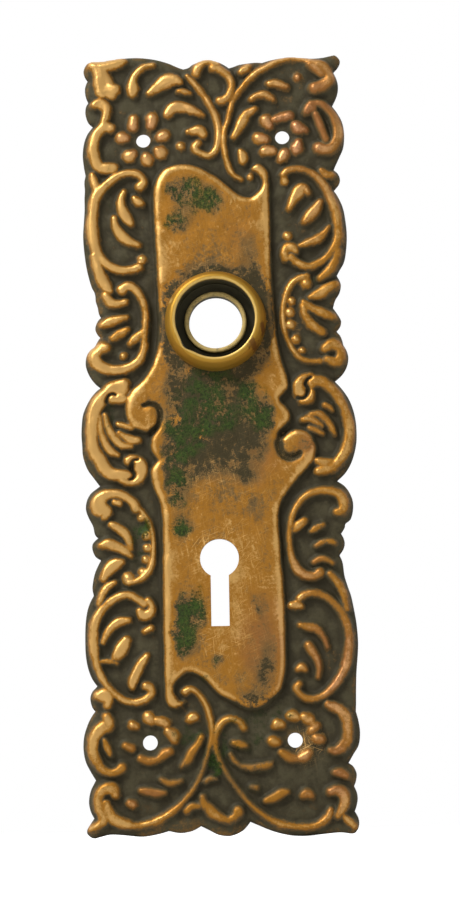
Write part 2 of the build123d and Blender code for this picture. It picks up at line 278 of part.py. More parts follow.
# Leaves, petals and buds of the border: x, y and half the width of the crest at each point of the line.
LEAVES = {
    "top left hook leaf": [(-14.3, 64.9, 0.3), (-16.3, 64.5, 0.4), (-18.2, 63, 0.5), (-19.3, 61, 0.7),
        (-19.3, 59, 1.2), (-19.4, 57.8, 0.9)],
    "top left big leaf": [(-15.4, 57.6, 0.5), (-13.2, 59, 1.1), (-11, 60.7, 1.6), (-9.2, 60.8, 1),
        (-7.6, 60.2, 0.3)],
    "top left small leaf": [(-8.2, 57.9, 0.3), (-7, 57.8, 0.55), (-5.3, 57.3, 0.25)],
    "top left mid leaf": [(-11, 52.2, 0.8), (-9.5, 53.8, 1.2), (-7.5, 54, 1.2), (-5, 53.2, 0.8),
        (-2.2, 51.7, 0.2)],
    "top left low leaf": [(-6.1, 47.6, 0.3), (-4.5, 47.9, 0.8), (-3.2, 48, 1), (-2.2, 47, 0.8)],
    "top left petal 0": [(-19.3, 51.5, 0.6), (-18.9, 48.8, 0.8)],
    "top left petal 1": [(-14.7, 51.2, 1.1), (-15.4, 48.9, 0.6)],
    "top left petal 2": [(-13.4, 46.5, 0.6), (-11.8, 47, 0.9), (-9.6, 47, 0.3)],
    "top left petal 3": [(-14.5, 44, 0.3), (-12.7, 42.7, 1.1)],
    "top left petal 4": [(-16.3, 42, 0.5), (-16, 41, 1), (-15.6, 39.6, 0.5)],
    "top left petal 5": [(-19.2, 42.8, 0.5), (-20.4, 41.9, 1.1)],
    "top left petal 6": [(-20.6, 46.4, 0.5), (-22.2, 46.6, 1)],
    "top right bud": [(7.2, 62.4, 0.5), (8.2, 63.3, 0.8), (8.8, 63.9, 0.5)],
    "top right leaf 1": [(14, 59.3, 0.5), (15.8, 59.4, 0.7), (18.3, 58.4, 0.4)],
    "top right leaf 2": [(9.6, 55.5, 0.3), (11, 56.4, 0.55), (12.7, 56.7, 0.65), (14, 56, 0.7),
        (14.8, 55.4, 0.4)],
    "top right petal 0": [(12.9, 50.4, 1), (14.2, 48.5, 0.6)],
    "top right petal 1": [(15.4, 50.3, 0.4), (17.2, 50.9, 0.7), (18.9, 51.2, 0.7)],
    "top right petal 2": [(19.6, 47.9, 0.9), (21, 48, 1), (23.4, 47.7, 0.3)],
    "top right petal 3": [(9.8, 46, 0.6), (11.2, 45.7, 1.1), (12.7, 45.3, 0.6)],
    "top right petal 4": [(11.8, 41.8, 0.5), (13.3, 42.5, 0.9), (14.8, 42.3, 0.4)],
    "top right petal 5": [(17.4, 42, 0.8), (16.9, 40.8, 0.8), (16.4, 39.4, 0.3)],
    "top right petal 6": [(20.8, 44.4, 0.5), (20.5, 43, 1.1)],
    "top right long leaf": [(5.1, 46, 0.5), (6.2, 47.8, 0.8), (7.4, 49.8, 1.2), (8.4, 51.7, 1),
        (10.4, 53, 0.5)],
    "top right bead 2": [(6.8, 42.5, 0.4), (7.3, 41.2, 1), (7.3, 40, 0.8)],
    "left upper edge leaf": [(-29.4, 37.4, 0.4), (-29, 35.8, 0.8), (-28.4, 34, 0.8)],
    "left upper leaf a": [(-21.7, 33, 0.3), (-22.5, 31, 0.6), (-22.4, 29, 0.9), (-21.4, 26.8, 1.1),
        (-20.2, 25, 0.6)],
    "left upper leaf b": [(-24.2, 26.4, 0.4), (-23.8, 24.3, 0.7), (-22.5, 22.2, 1), (-20.8, 20.6, 0.9),
        (-18.4, 19.6, 0.4)],
    "left upper bud": [(-19.2, 31.3, 0.4), (-18.4, 30.4, 0.8), (-17.4, 29.9, 0.4)],
    "right upper nub": [(26.2, 37.2, 0.4), (27.5, 36.1, 0.8), (28.7, 36.1, 0.5)],
    "right upper leaf a": [(18.2, 27.7, 0.3), (19.3, 29.8, 0.8), (20.6, 31.8, 1.4), (21.7, 32.9, 1),
        (23, 31.5, 0.4)],
    "right upper leaf b": [(22, 24.5, 0.5), (23.3, 25.9, 1.1), (24.7, 27.5, 1), (25.8, 29.3, 0.4)],
    "right upper leaf c": [(20.6, 18.4, 0.25), (22.8, 19.2, 0.6), (25, 20, 0.9), (26.5, 21.3, 0.6),
        (27.8, 23.1, 0.2)],
    "left fan f1": [(-26.5, 7.2, 0.6), (-25, 5.4, 0.9), (-23.3, 5.1, 0.7), (-21.5, 5.6, 0.4)],
    "left fan f2": [(-27.3, 0, 0.5), (-25.6, 0.7, 0.95), (-23.5, 1.2, 0.8), (-21.4, 1.8, 0.35)],
    "left fan f3": [(-24.9, -3.4, 0.5), (-23.3, -2.4, 0.9), (-21.3, -1.3, 0.5)],
    "left fan f4": [(-20.5, -4.7, 0.5), (-19.2, -3.4, 0.9), (-17.6, -1.9, 0.4)],
    "right fan g1": [(22.8, 5.7, 0.3), (25, 6.5, 1.1), (27, 7.8, 1.1), (29.2, 9, 0.5)],
    "right fan g2": [(21.2, 4.5, 0.5), (23.3, 3, 0.8), (25.7, 1.8, 1), (28.2, 0.8, 0.7)],
    "right fan g3": [(21, 3.6, 0.5), (21.6, 1.4, 0.7), (23, -0.9, 0.9), (25.6, -3, 0.8)],
    "left middle h1": [(-28, -22.5, 0.3), (-27.9, -25.5, 0.5), (-27, -28.5, 0.7), (-25.6, -30.7, 0.8),
        (-23.8, -31.8, 0.3)],
    "left middle h2": [(-26.8, -22, 0.3), (-26.1, -25, 0.6), (-24.5, -27.8, 0.8), (-22.8, -29.4, 0.7),
        (-20.6, -29.8, 0.3)],
    "left middle h3": [(-23.4, -26.4, 0.3), (-22, -27.4, 0.7), (-20.4, -28.2, 0.9), (-19, -28.2, 0.5)],
    "left middle h4": [(-23.7, -24.3, 0.3), (-22.2, -24.8, 0.5), (-20.4, -25.4, 0.3)],
    "right middle h1": [(25.8, -20.7, 0.3), (26.8, -21.2, 0.4), (27.5, -22, 0.2)],
    "right middle h2": [(22.4, -22.9, 0.3), (24.4, -22.9, 0.6), (26, -24.3, 0.6), (27.2, -26.2, 0.5),
        (27.9, -27.8, 0.2)],
    "right middle h3": [(20.4, -24.2, 0.4), (22, -24, 0.6), (23.6, -24.8, 0.5), (25, -25.8, 0.2)],
    "right middle h4": [(22, -26.2, 0.4), (23.2, -26.7, 0.55), (25, -27.6, 0.25)],
    "left lower fan lobe": [(-24.8, -43.1, 0.5), (-23.6, -43.4, 0.5)],
    "left lower fan f1": [(-25.7, -48.4, 0.4), (-24, -49.2, 0.85), (-22.4, -50.6, 0.95),
        (-21.3, -52.6, 0.7), (-20.9, -54.4, 0.3)],
    "left lower fan f2": [(-28.2, -53.4, 0.4), (-26.2, -53, 1.1), (-24, -53.8, 1.1), (-22.2, -55, 0.8),
        (-21, -56, 0.3)],
    "left lower fan f3": [(-23, -57.3, 0.4), (-24.8, -57.9, 1.2), (-26.4, -59.4, 1.2),
        (-27.4, -61.2, 0.6)],
    "left lower fan f4": [(-24.8, -62.2, 0.3), (-26.4, -63.2, 0.6), (-27.8, -65, 0.7),
        (-28.6, -67.2, 0.5)],
    "left lower leaf a": [(-21.6, -71.2, 0.4), (-23.4, -71.4, 0.8), (-25.2, -72.4, 0.85),
        (-26.8, -74.2, 0.7), (-27.8, -76.4, 0.3)],
    "left lower leaf b": [(-22.3, -76, 0.9), (-23.3, -77.6, 1.35), (-24.3, -79.2, 1.2),
        (-25.2, -80, 0.5)],
    "left lower leaf c": [(-17.4, -79.6, 0.3), (-18.8, -81.4, 0.8), (-19.8, -83.4, 0.95),
        (-20.8, -85.6, 0.85), (-21, -87, 0.4)],
    "left lower sliver": [(-28.2, -80.8, 0.2), (-26.4, -80.8, 0.4), (-24.6, -81.3, 0.2)],
    "left lower sliver2": [(-18, -74, 0.2), (-16.4, -73.2, 0.4)],
    "right lower fan drop": [(17.8, -50.8, 0.3), (18.8, -49.6, 0.9), (20.2, -48.6, 0.8)],
    "right lower fan g1": [(21.8, -51, 0.4), (23, -50.3, 0.7), (24.6, -49.5, 0.4)],
    "right lower fan g2": [(22.8, -54.5, 0.3), (24.6, -53.6, 0.55), (26.4, -53.6, 0.5),
        (27.4, -53.9, 0.3)],
    "right lower fan g3": [(22.2, -58.4, 0.3), (23.8, -57.6, 0.55), (25.4, -57.8, 0.45),
        (26.6, -58.6, 0.25)],
    "right lower eye": [(16.8, -68.5, 0.6), (17.9, -68.4, 0.9), (18.9, -68.6, 0.5)],
    "right lower leaf a": [(18.7, -73.2, 0.4), (20.6, -73.6, 0.8), (22.4, -74, 0.85), (23.4, -75, 0.6),
        (24.4, -76.6, 0.3), (25, -78.4, 0.15)],
    "right lower leaf b": [(20.6, -78, 0.8), (21.4, -79.4, 0.85), (22.4, -81.2, 0.6),
        (22.9, -83.2, 0.35), (22.6, -85.4, 0.2)],
    "right lower leaf c": [(17.9, -83.5, 0.4), (18.8, -83, 0.75), (19.6, -83.6, 0.4)],
    "bottom left c inner": [(-27.6, -99.2, 0.3), (-27, -100.8, 0.6), (-26.2, -102.6, 0.4)],
    "bottom left petal 0": [(-17, -93.2, 0.6), (-17.2, -94.2, 1.1), (-16.6, -95, 0.6)],
    "bottom left petal 1": [(-15.4, -94.9, 0.5), (-14, -95.2, 0.8), (-12.6, -95.1, 0.5)],
    "bottom left petal 2": [(-12.6, -97.4, 0.6), (-11.6, -98.3, 1), (-10, -99.6, 0.3)],
    "bottom left petal 3": [(-19, -103.3, 0.4), (-17.4, -103.5, 0.5), (-15.6, -103.1, 0.4),
        (-13.6, -102.5, 0.7), (-12.4, -102.1, 0.4)],
    "bottom left petal 4": [(-22, -94.9, 0.5), (-21, -95.8, 0.5), (-20, -96.1, 0.3)],
    "bottom left petal 5": [(-23, -100.6, 0.3), (-21.2, -101.2, 0.5)],
    "bottom left bud": [(-7.8, -94.9, 0.4), (-6.9, -94.2, 0.8), (-6.2, -94.2, 0.4)],
    "bottom left leaf 1": [(-4.9, -98.9, 0.4), (-5.8, -100.6, 0.5), (-7.2, -102.4, 0.8),
        (-8.2, -104.2, 0.8), (-9.6, -105.6, 0.25)],
    "bottom left leaf 2": [(-14.4, -108.6, 0.3), (-12.6, -109.4, 0.65), (-10.8, -109.2, 0.4),
        (-9.8, -108.9, 0.2)],
    "bottom left leaf 3": [(-19.2, -111, 0.3), (-17.2, -111.3, 0.8), (-15.4, -111.6, 0.8),
        (-13.6, -111.6, 0.3)],
    "bottom left drop": [(-21.9, -113.8, 0.5), (-21.1, -114.2, 0.7)],
    "bottom centre top": [(-4.2, -109.2, 0.3), (-3, -108.5, 0.45), (-1.8, -108.6, 0.3)],
    "bottom centre left": [(-8.6, -115.8, 0.4), (-7.4, -114.8, 0.6), (-5.8, -114.8, 0.4)],
    "bottom right petal 0": [(15.6, -94, 0.4), (16.4, -94.1, 0.8), (17.4, -94.6, 0.5)],
    "bottom right petal 1": [(19.2, -94.6, 0.6), (20.2, -95.1, 1), (21.2, -95.6, 0.5)],
    "bottom right petal 2": [(21.8, -99.6, 0.6), (22.8, -99.9, 0.8), (24, -100.4, 0.3)],
    "bottom right petal 3": [(18, -103.6, 0.5), (18.8, -103.1, 0.8), (19.7, -102.6, 0.4)],
    "bottom right petal 4": [(14.6, -102, 0.3), (15.6, -102.8, 0.7), (16.5, -103, 0.3)],
    "bottom right petal 5": [(10.2, -100.2, 0.3), (11.8, -100.2, 0.8), (13.4, -100.4, 0.4)],
    "bottom right petal 6": [(12, -96.2, 0.4), (12.9, -96, 0.7), (13.8, -96.2, 0.4)],
    "bottom right bud": [(2.6, -100.4, 0.4), (4, -100.7, 0.8), (5.4, -101.1, 0.4)],
    "bottom right leaf 1": [(4.4, -105.8, 0.4), (6.4, -106.2, 0.7), (8.6, -106, 0.75),
        (10.6, -105.6, 0.6), (11.4, -105.2, 0.2)],
    "bottom right leaf 2": [(9.8, -113.8, 0.4), (11.6, -113.2, 0.9), (13.4, -112.2, 0.9),
        (14.8, -111.9, 0.4)],
    "bottom right drop": [(18.4, -112.8, 0.5), (19.4, -112.3, 0.9), (20.4, -112.8, 0.5)],
    "bottom right knob": [(26, -107.6, 0.5), (27.4, -107.7, 0.8), (28.6, -108.4, 0.4)],
}

# Round beads of the border: x, y and half the width of the crest at each point of the line.
BEADS = {
    "top left bead": (-7.8, 44.1, 0.9),
    "top right stem bead": (9, 36, 0.7),
    "top right bead": (21, 60.9, 0.7),
    "left upper c bead": (-17.5, 16, 0.95),
    "right upper c eye": (17.3, 34.8, 1),
    "right upper bead": (17.8, 21, 1),
    "left fan bead": (-22.2, -7.7, 0.9),
    "right fan eye": (22, 9.2, 1.4),
    "right fan bead 0": (18.3, 4.9, 0.85),
    "right fan bead 1": (17.8, 2.2, 1.05),
    "right fan bead 2": (18, -0.8, 1),
    "right fan bead 3": (19.2, -4.5, 0.9),
    "right fan bead 4": (20.6, -7.2, 0.7),
    "left lower fan bead 0": (-18.5, -46.9, 0.8),
    "left lower fan bead 1": (-17.2, -51.3, 1),
    "left lower fan bead 2": (-17.1, -54.1, 0.9),
    "left lower fan bead 3": (-17.5, -56.9, 0.8),
    "left lower fan bead 4": (-18.3, -59.8, 0.8),
    "left lower fan eye": (-21.7, -61.3, 1.25),
}
PANEL_FRONT = GROUND + PANEL_RISE
LIP = PANEL_FRONT + COLLAR_RISE
NECK_R = COLLAR_BORE_R + COLLAR_WALL
FOOT = GROUND - ROOT * SHEET
MITRE_LIMIT = 0.5          # keeps a corner of a moved outline from running out to a long point
BEND_SHARE = 0.7           # most of a bend's radius that the inner side of a band may fill
OUTLINE_TURN = 32.0        # degrees that an outline turns in one straight step
OUTLINE_STEP = 5.0         # longest straight step along an outline
BAND_TURN = 40.0           # degrees that a band turns in one straight step
BAND_STEP = 6.0            # longest straight step along a band
BEAD_SIDES = 6
SMALLEST_AREA = 1e-6       # under this, three points are taken to be in line
THROUGH = 40.0             # length of a cutter that passes right through


def drawn(points):
    """Points of the drawing stretched to the plate's own width and height."""
    kx, ky = PLATE_WIDTH / DRAWN_WIDTH, PLATE_HEIGHT / DRAWN_HEIGHT
    return [(p[0] * kx, p[1] * ky, *p[2:]) for p in points]


def right_of(a, b):
    """Unit vector to the right of the way from a to b."""
    dx, dy = b[0] - a[0], b[1] - a[1]
    length = hypot(dx, dy)
    return dy / length, -dx / length


def mitre(before, corner, after, shift):
    """A corner moved to the right of travel, to where its two moved sides meet."""
    n1, n2 = right_of(before, corner), right_of(corner, after)
    reach = shift / max(1 + n1[0] * n2[0] + n1[1] * n2[1], MITRE_LIMIT)
    return corner[0] + reach * (n1[0] + n2[0]), corner[1] + reach * (n1[1] + n2[1])


def bend_radius(a, b, c):
    """Radius of the circle through three points, and whether the way turns right."""
    area = (b[0] - a[0]) * (c[1] - a[1]) - (b[1] - a[1]) * (c[0] - a[0])
    ab, bc, ca = (hypot(q[0] - p[0], q[1] - p[1]) for p, q in ((a, b), (b, c), (c, a)))
    return ab * bc * ca / max(2 * abs(area), SMALLEST_AREA), area < 0


def turning(points):
    """How far a line turns along its way, left and right added up, in degrees."""
    total = 0
    for a, b, c in zip(points, points[1:], points[2:]):
        (ux, uy), (vx, vy) = right_of(a, b), right_of(b, c)
        total += abs(atan2(ux * vy - uy * vx, ux * vx + uy * vy))
    return total * 180 / pi


def step_count(points, turn, longest):
    """Straight steps that a smooth line needs, from how far it turns and how long it is."""
    length = Spline(*[p[:2] for p in points]).length
    return max(2, ceil(turning(points) / turn), ceil(length / longest))


def closed_wire(runs, inset, height):
    """A closed outline at one height, moved inwards, in straight steps along the smooth curve of each run."""
    paths = [run + runs[(i + 1) % len(runs)][:1] for i, run in enumerate(runs)]
    starts = [mitre(paths[i - 1][-2], path[0], path[1], inset) for i, path in enumerate(paths)]
    outline = []
    for i, path in enumerate(paths):
        points = [starts[i]]
        for before, here, after in zip(path, path[1:], path[2:]):
            n = right_of(before, after)
            radius, turns_right = bend_radius(before, here, after)
            closing = turns_right == (inset > 0)
            reach = max(-BEND_SHARE * radius, min(inset, BEND_SHARE * radius)) if closing else inset
            points.append((here[0] + reach * n[0], here[1] + reach * n[1]))
        points.append(starts[(i + 1) % len(runs)])
        count = step_count(path, OUTLINE_TURN, OUTLINE_STEP)
        curve = Spline(*points)
        outline += [(p.X, p.Y, height) for p in (curve @ (k / count) for k in range(count))]
    return Wire.make_polygon(outline)


def banked(runs, levels):
    """A solid through an outline at each level (inset, height), with straight banks between levels."""
    return Solid.make_loft([closed_wire(runs, inset, height) for inset, height in levels], ruled=True)


def stepped(line):
    """A line of the drawing in even steps along its smooth curve, with its half width at each step."""
    curve = Spline(*[p[:2] for p in line])
    count = step_count(line, BAND_TURN, BAND_STEP)
    ways = [0.0]
    for a, b in zip(line, line[1:]):
        ways.append(ways[-1] + hypot(b[0] - a[0], b[1] - a[1]))
    steps = []
    for k in range(count + 1):
        at = ways[-1] * k / count
        i = max(j for j in range(len(line) - 1) if ways[j] <= at)
        share = (at - ways[i]) / (ways[i + 1] - ways[i])
        half = line[i][2] + share * (line[i + 1][2] - line[i][2])
        point = curve @ (k / count)
        steps.append((point.X, point.Y, half))
    return steps


def band_wire(line, share, spread, height):
    """Outline of a band along a line at one height: its two sides, and a blunt point at each end."""
    left, right = [], []
    for k, (x, y, half) in enumerate(line):
        a, b = line[max(k - 1, 0)], line[min(k + 1, len(line) - 1)]
        reach = half * share + spread
        radius, turns_right = bend_radius(a, (x, y), b)
        inner = min(reach, BEND_SHARE * radius) if 0 < k < len(line) - 1 else reach
        n = right_of(a, b)
        to_right, to_left = (inner, reach) if turns_right else (reach, inner)
        right.append((x + n[0] * to_right, y + n[1] * to_right, height))
        left.append((x - n[0] * to_left, y - n[1] * to_left, height))
    tips = []
    for end, other in ((line[0], line[1]), (line[-1], line[-2])):
        length = hypot(end[0] - other[0], end[1] - other[1])
        reach = (end[2] * share + spread) / length
        tips.append((end[0] + (end[0] - other[0]) * reach, end[1] + (end[1] - other[1]) * reach, height))
    return Wire.make_polygon([*left, tips[1], *reversed(right), tips[0]])


def raised_band(line, rise):
    """A band that rises from inside the sheet to its crest, with drafted sides."""
    steps = stepped(line)
    foot = band_wire(steps, 1, DRAFT, FOOT)
    crest = band_wire(steps, CREST, 0, GROUND + rise)
    return Solid.make_loft([foot, crest], ruled=True)


def sunk_band(line, depth):
    """A cutter for a channel along a line in the panel."""
    steps = stepped(line)
    foot = band_wire(steps, 1, 0, PANEL_FRONT - depth)
    mouth = band_wire(steps, 1, 0, PANEL_FRONT + SHEET)
    return Solid.make_loft([foot, mouth], ruled=True)


def raised_bead(x, y, half, rise):
    """A bead that rises from inside the sheet, with flat facets round it."""
    wires = []
    for radius, height in ((half + DRAFT, FOOT), (half * CREST, GROUND + rise)):
        turns = [2 * pi * k / BEAD_SIDES for k in range(BEAD_SIDES)]
        wires.append(Wire.make_polygon([(x + radius * cos(t), y + radius * sin(t), height) for t in turns]))
    return Solid.make_loft(wires, ruled=True)


def round_cut(x, y, radius):
    """A round cutter that passes through the plate."""
    return Pos(x, y, 0) * Cylinder(radius, THROUGH)


def keyhole_cut():
    """The keyhole: a round hole with a straight slot under it."""
    slot_length = KEY_SLOT_END - KEY_DROP
    slot = Pos(0, -KEY_DROP - slot_length / 2, 0) * Box(KEY_SLOT_WIDTH, slot_length, THROUGH)
    return round_cut(0, -KEY_DROP, KEY_R) + slot


def plate():
    """The pressed sheet: rim, ground and panel, hollow behind, with its ornaments and its holes."""
    outline = [drawn(run) for run in OUTLINE]
    panel = [drawn(run) for run in PANEL]
    back = GROUND - SHEET
    rim = [(0, 0), (RIM_LEAN, RIM_EDGE), (RIM_LEAN + RIM_ROLL, GROUND)]
    hollow = [(SHEET - HOLLOW_ROLL / 2, -SHEET), (SHEET + HOLLOW_ROLL, back)]
    raised = [(-PANEL_SLOPE, FOOT), (0, PANEL_FRONT - PANEL_EASE_DEPTH), (PANEL_EASE, PANEL_FRONT)]
    pocket = [(0, back - SHEET), (PANEL_EASE, PANEL_FRONT - SHEET)]
    body = banked(outline, rim).fuse(banked(panel, raised))
    body = body.cut(banked(outline, hollow), banked(panel, pocket))
    body = body.cut(*[sunk_band(drawn(line), CHANNEL_DEPTH) for line in CHANNELS.values()])
    body = body.cut(round_cut(0, 0, NECK_R), keyhole_cut())
    ornaments = [raised_bead(*drawn([bead])[0], BEAD_RISE) for bead in BEADS.values()]
    for lines, rise in ((BANDS, BAND_RISE), (STEMS, STEM_RISE), (LEAVES, LEAF_RISE)):
        ornaments += [raised_band(drawn(line), rise) for line in lines.values()]
    body = body.fuse(*ornaments)
    rows = (SCREW_TOP, -SCREW_BOTTOM)
    columns = (-SCREW_SPACING_X / 2, SCREW_SPACING_X / 2)
    return body.cut(*[round_cut(x, y, SCREW_R) for x in columns for y in rows])


def knob_collar():
    """The turned collar: a cup that stands on the panel, passes through it and is rolled out behind."""
    back = PANEL_FRONT - SHEET
    lip_r = COLLAR_BORE_R + COLLAR_LIP
    floor = COLLAR_BACK + COLLAR_FLOOR
    neck_top = LIP - NECK_DEPTH
    shoulder = neck_top - NECK_WALL / 2
    bore_end = LIP - COLLAR_BORE_END
    relief_r = COLLAR_BORE_R + COLLAR_RELIEF
    foot_top = PANEL_FRONT + COLLAR_FOOT
    flank_mid = ((COLLAR_BASE_R + lip_r + COLLAR_EDGE) / 2 + COLLAR_BULGE, (foot_top + LIP) / 2)
    profile = [
        ((COLLAR_BASE_R, PANEL_FRONT), (COLLAR_BASE_R, foot_top)),
        ((COLLAR_BASE_R, foot_top), flank_mid, (lip_r + COLLAR_EDGE, LIP - COLLAR_EDGE)),
        ((lip_r + COLLAR_EDGE, LIP - COLLAR_EDGE), (lip_r, LIP)),
        ((lip_r, LIP), (COLLAR_BORE_R + COLLAR_EDGE, LIP)),
        ((COLLAR_BORE_R + COLLAR_EDGE, LIP), (COLLAR_BORE_R, LIP - COLLAR_EDGE)),
        ((COLLAR_BORE_R, LIP - COLLAR_EDGE), (COLLAR_BORE_R, bore_end)),
        ((COLLAR_BORE_R, bore_end), (relief_r, bore_end - COLLAR_RELIEF)),
        ((relief_r, bore_end - COLLAR_RELIEF), (relief_r, floor)),
        ((relief_r, floor), (SPINDLE_R + NECK_WALL, floor)),
        ((SPINDLE_R + NECK_WALL, floor), (SPINDLE_R + NECK_WALL, shoulder)),
        ((SPINDLE_R + NECK_WALL, shoulder), (SPINDLE_R + NECK_WALL / 2, neck_top), (SPINDLE_R, shoulder)),
        ((SPINDLE_R, shoulder), (SPINDLE_R, COLLAR_BACK)),
        ((SPINDLE_R, COLLAR_BACK), (NECK_R, COLLAR_BACK)),
        ((NECK_R, COLLAR_BACK), (NECK_R, back - SWAGE_THICKNESS)),
        ((NECK_R, back - SWAGE_THICKNESS), (NECK_R + SWAGE_WIDTH, back - SWAGE_THICKNESS / 2)),
        ((NECK_R + SWAGE_WIDTH, back - SWAGE_THICKNESS / 2), (NECK_R + SWAGE_WIDTH, back)),
        ((NECK_R + SWAGE_WIDTH, back), (NECK_R, back)),
        ((NECK_R, back), (NECK_R, PANEL_FRONT)),
        ((NECK_R, PANEL_FRONT), (COLLAR_BASE_R, PANEL_FRONT)),
    ]
    edges = []
    for points in profile:
        curve = ThreePointArc if len(points) == 3 else Line
        edges.append(curve(*[(r, 0, height) for r, height in points]))
    return revolve(Face(Wire(edges)), Axis.Z)


os.makedirs("parts", exist_ok=True)
for name, solid in (("plate", plate()), ("knob_collar", knob_collar())):
    export_step(Plane.XZ.location * solid, f"parts/{name}.step")
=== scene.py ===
"""Ornate pressed-bronze door backplate with its turned brass knob collar, for a studio picture.

Plan coordinates are x to the right and z up; heights stand in front of the door; all in millimetres.
"""
from __future__ import annotations

import logging
import math
from dataclasses import dataclass
from enum import Enum

import bpy
import numpy as np
from mathutils import Matrix, Vector
from mathutils.geometry import delaunay_2d_cdt


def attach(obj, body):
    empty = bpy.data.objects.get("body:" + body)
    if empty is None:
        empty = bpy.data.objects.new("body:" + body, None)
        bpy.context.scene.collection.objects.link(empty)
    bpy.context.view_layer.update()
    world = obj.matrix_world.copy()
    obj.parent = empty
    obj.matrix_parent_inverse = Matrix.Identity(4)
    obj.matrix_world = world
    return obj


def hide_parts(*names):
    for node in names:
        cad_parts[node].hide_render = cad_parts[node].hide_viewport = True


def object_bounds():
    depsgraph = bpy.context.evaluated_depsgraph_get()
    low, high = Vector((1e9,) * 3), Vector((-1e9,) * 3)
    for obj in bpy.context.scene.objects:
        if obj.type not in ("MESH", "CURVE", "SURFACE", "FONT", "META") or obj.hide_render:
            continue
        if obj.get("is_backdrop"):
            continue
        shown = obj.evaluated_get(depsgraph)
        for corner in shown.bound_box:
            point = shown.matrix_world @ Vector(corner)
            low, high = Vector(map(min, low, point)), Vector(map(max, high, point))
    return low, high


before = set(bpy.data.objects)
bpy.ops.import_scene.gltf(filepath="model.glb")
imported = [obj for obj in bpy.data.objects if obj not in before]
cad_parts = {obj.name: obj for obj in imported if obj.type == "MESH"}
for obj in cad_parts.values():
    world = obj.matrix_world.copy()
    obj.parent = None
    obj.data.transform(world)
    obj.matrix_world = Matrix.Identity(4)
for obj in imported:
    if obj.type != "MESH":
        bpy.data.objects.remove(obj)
log = logging.getLogger("backplate")

Plan = list[tuple[float, ...]]
Colour = tuple[float, float, float]
MM = 0.001

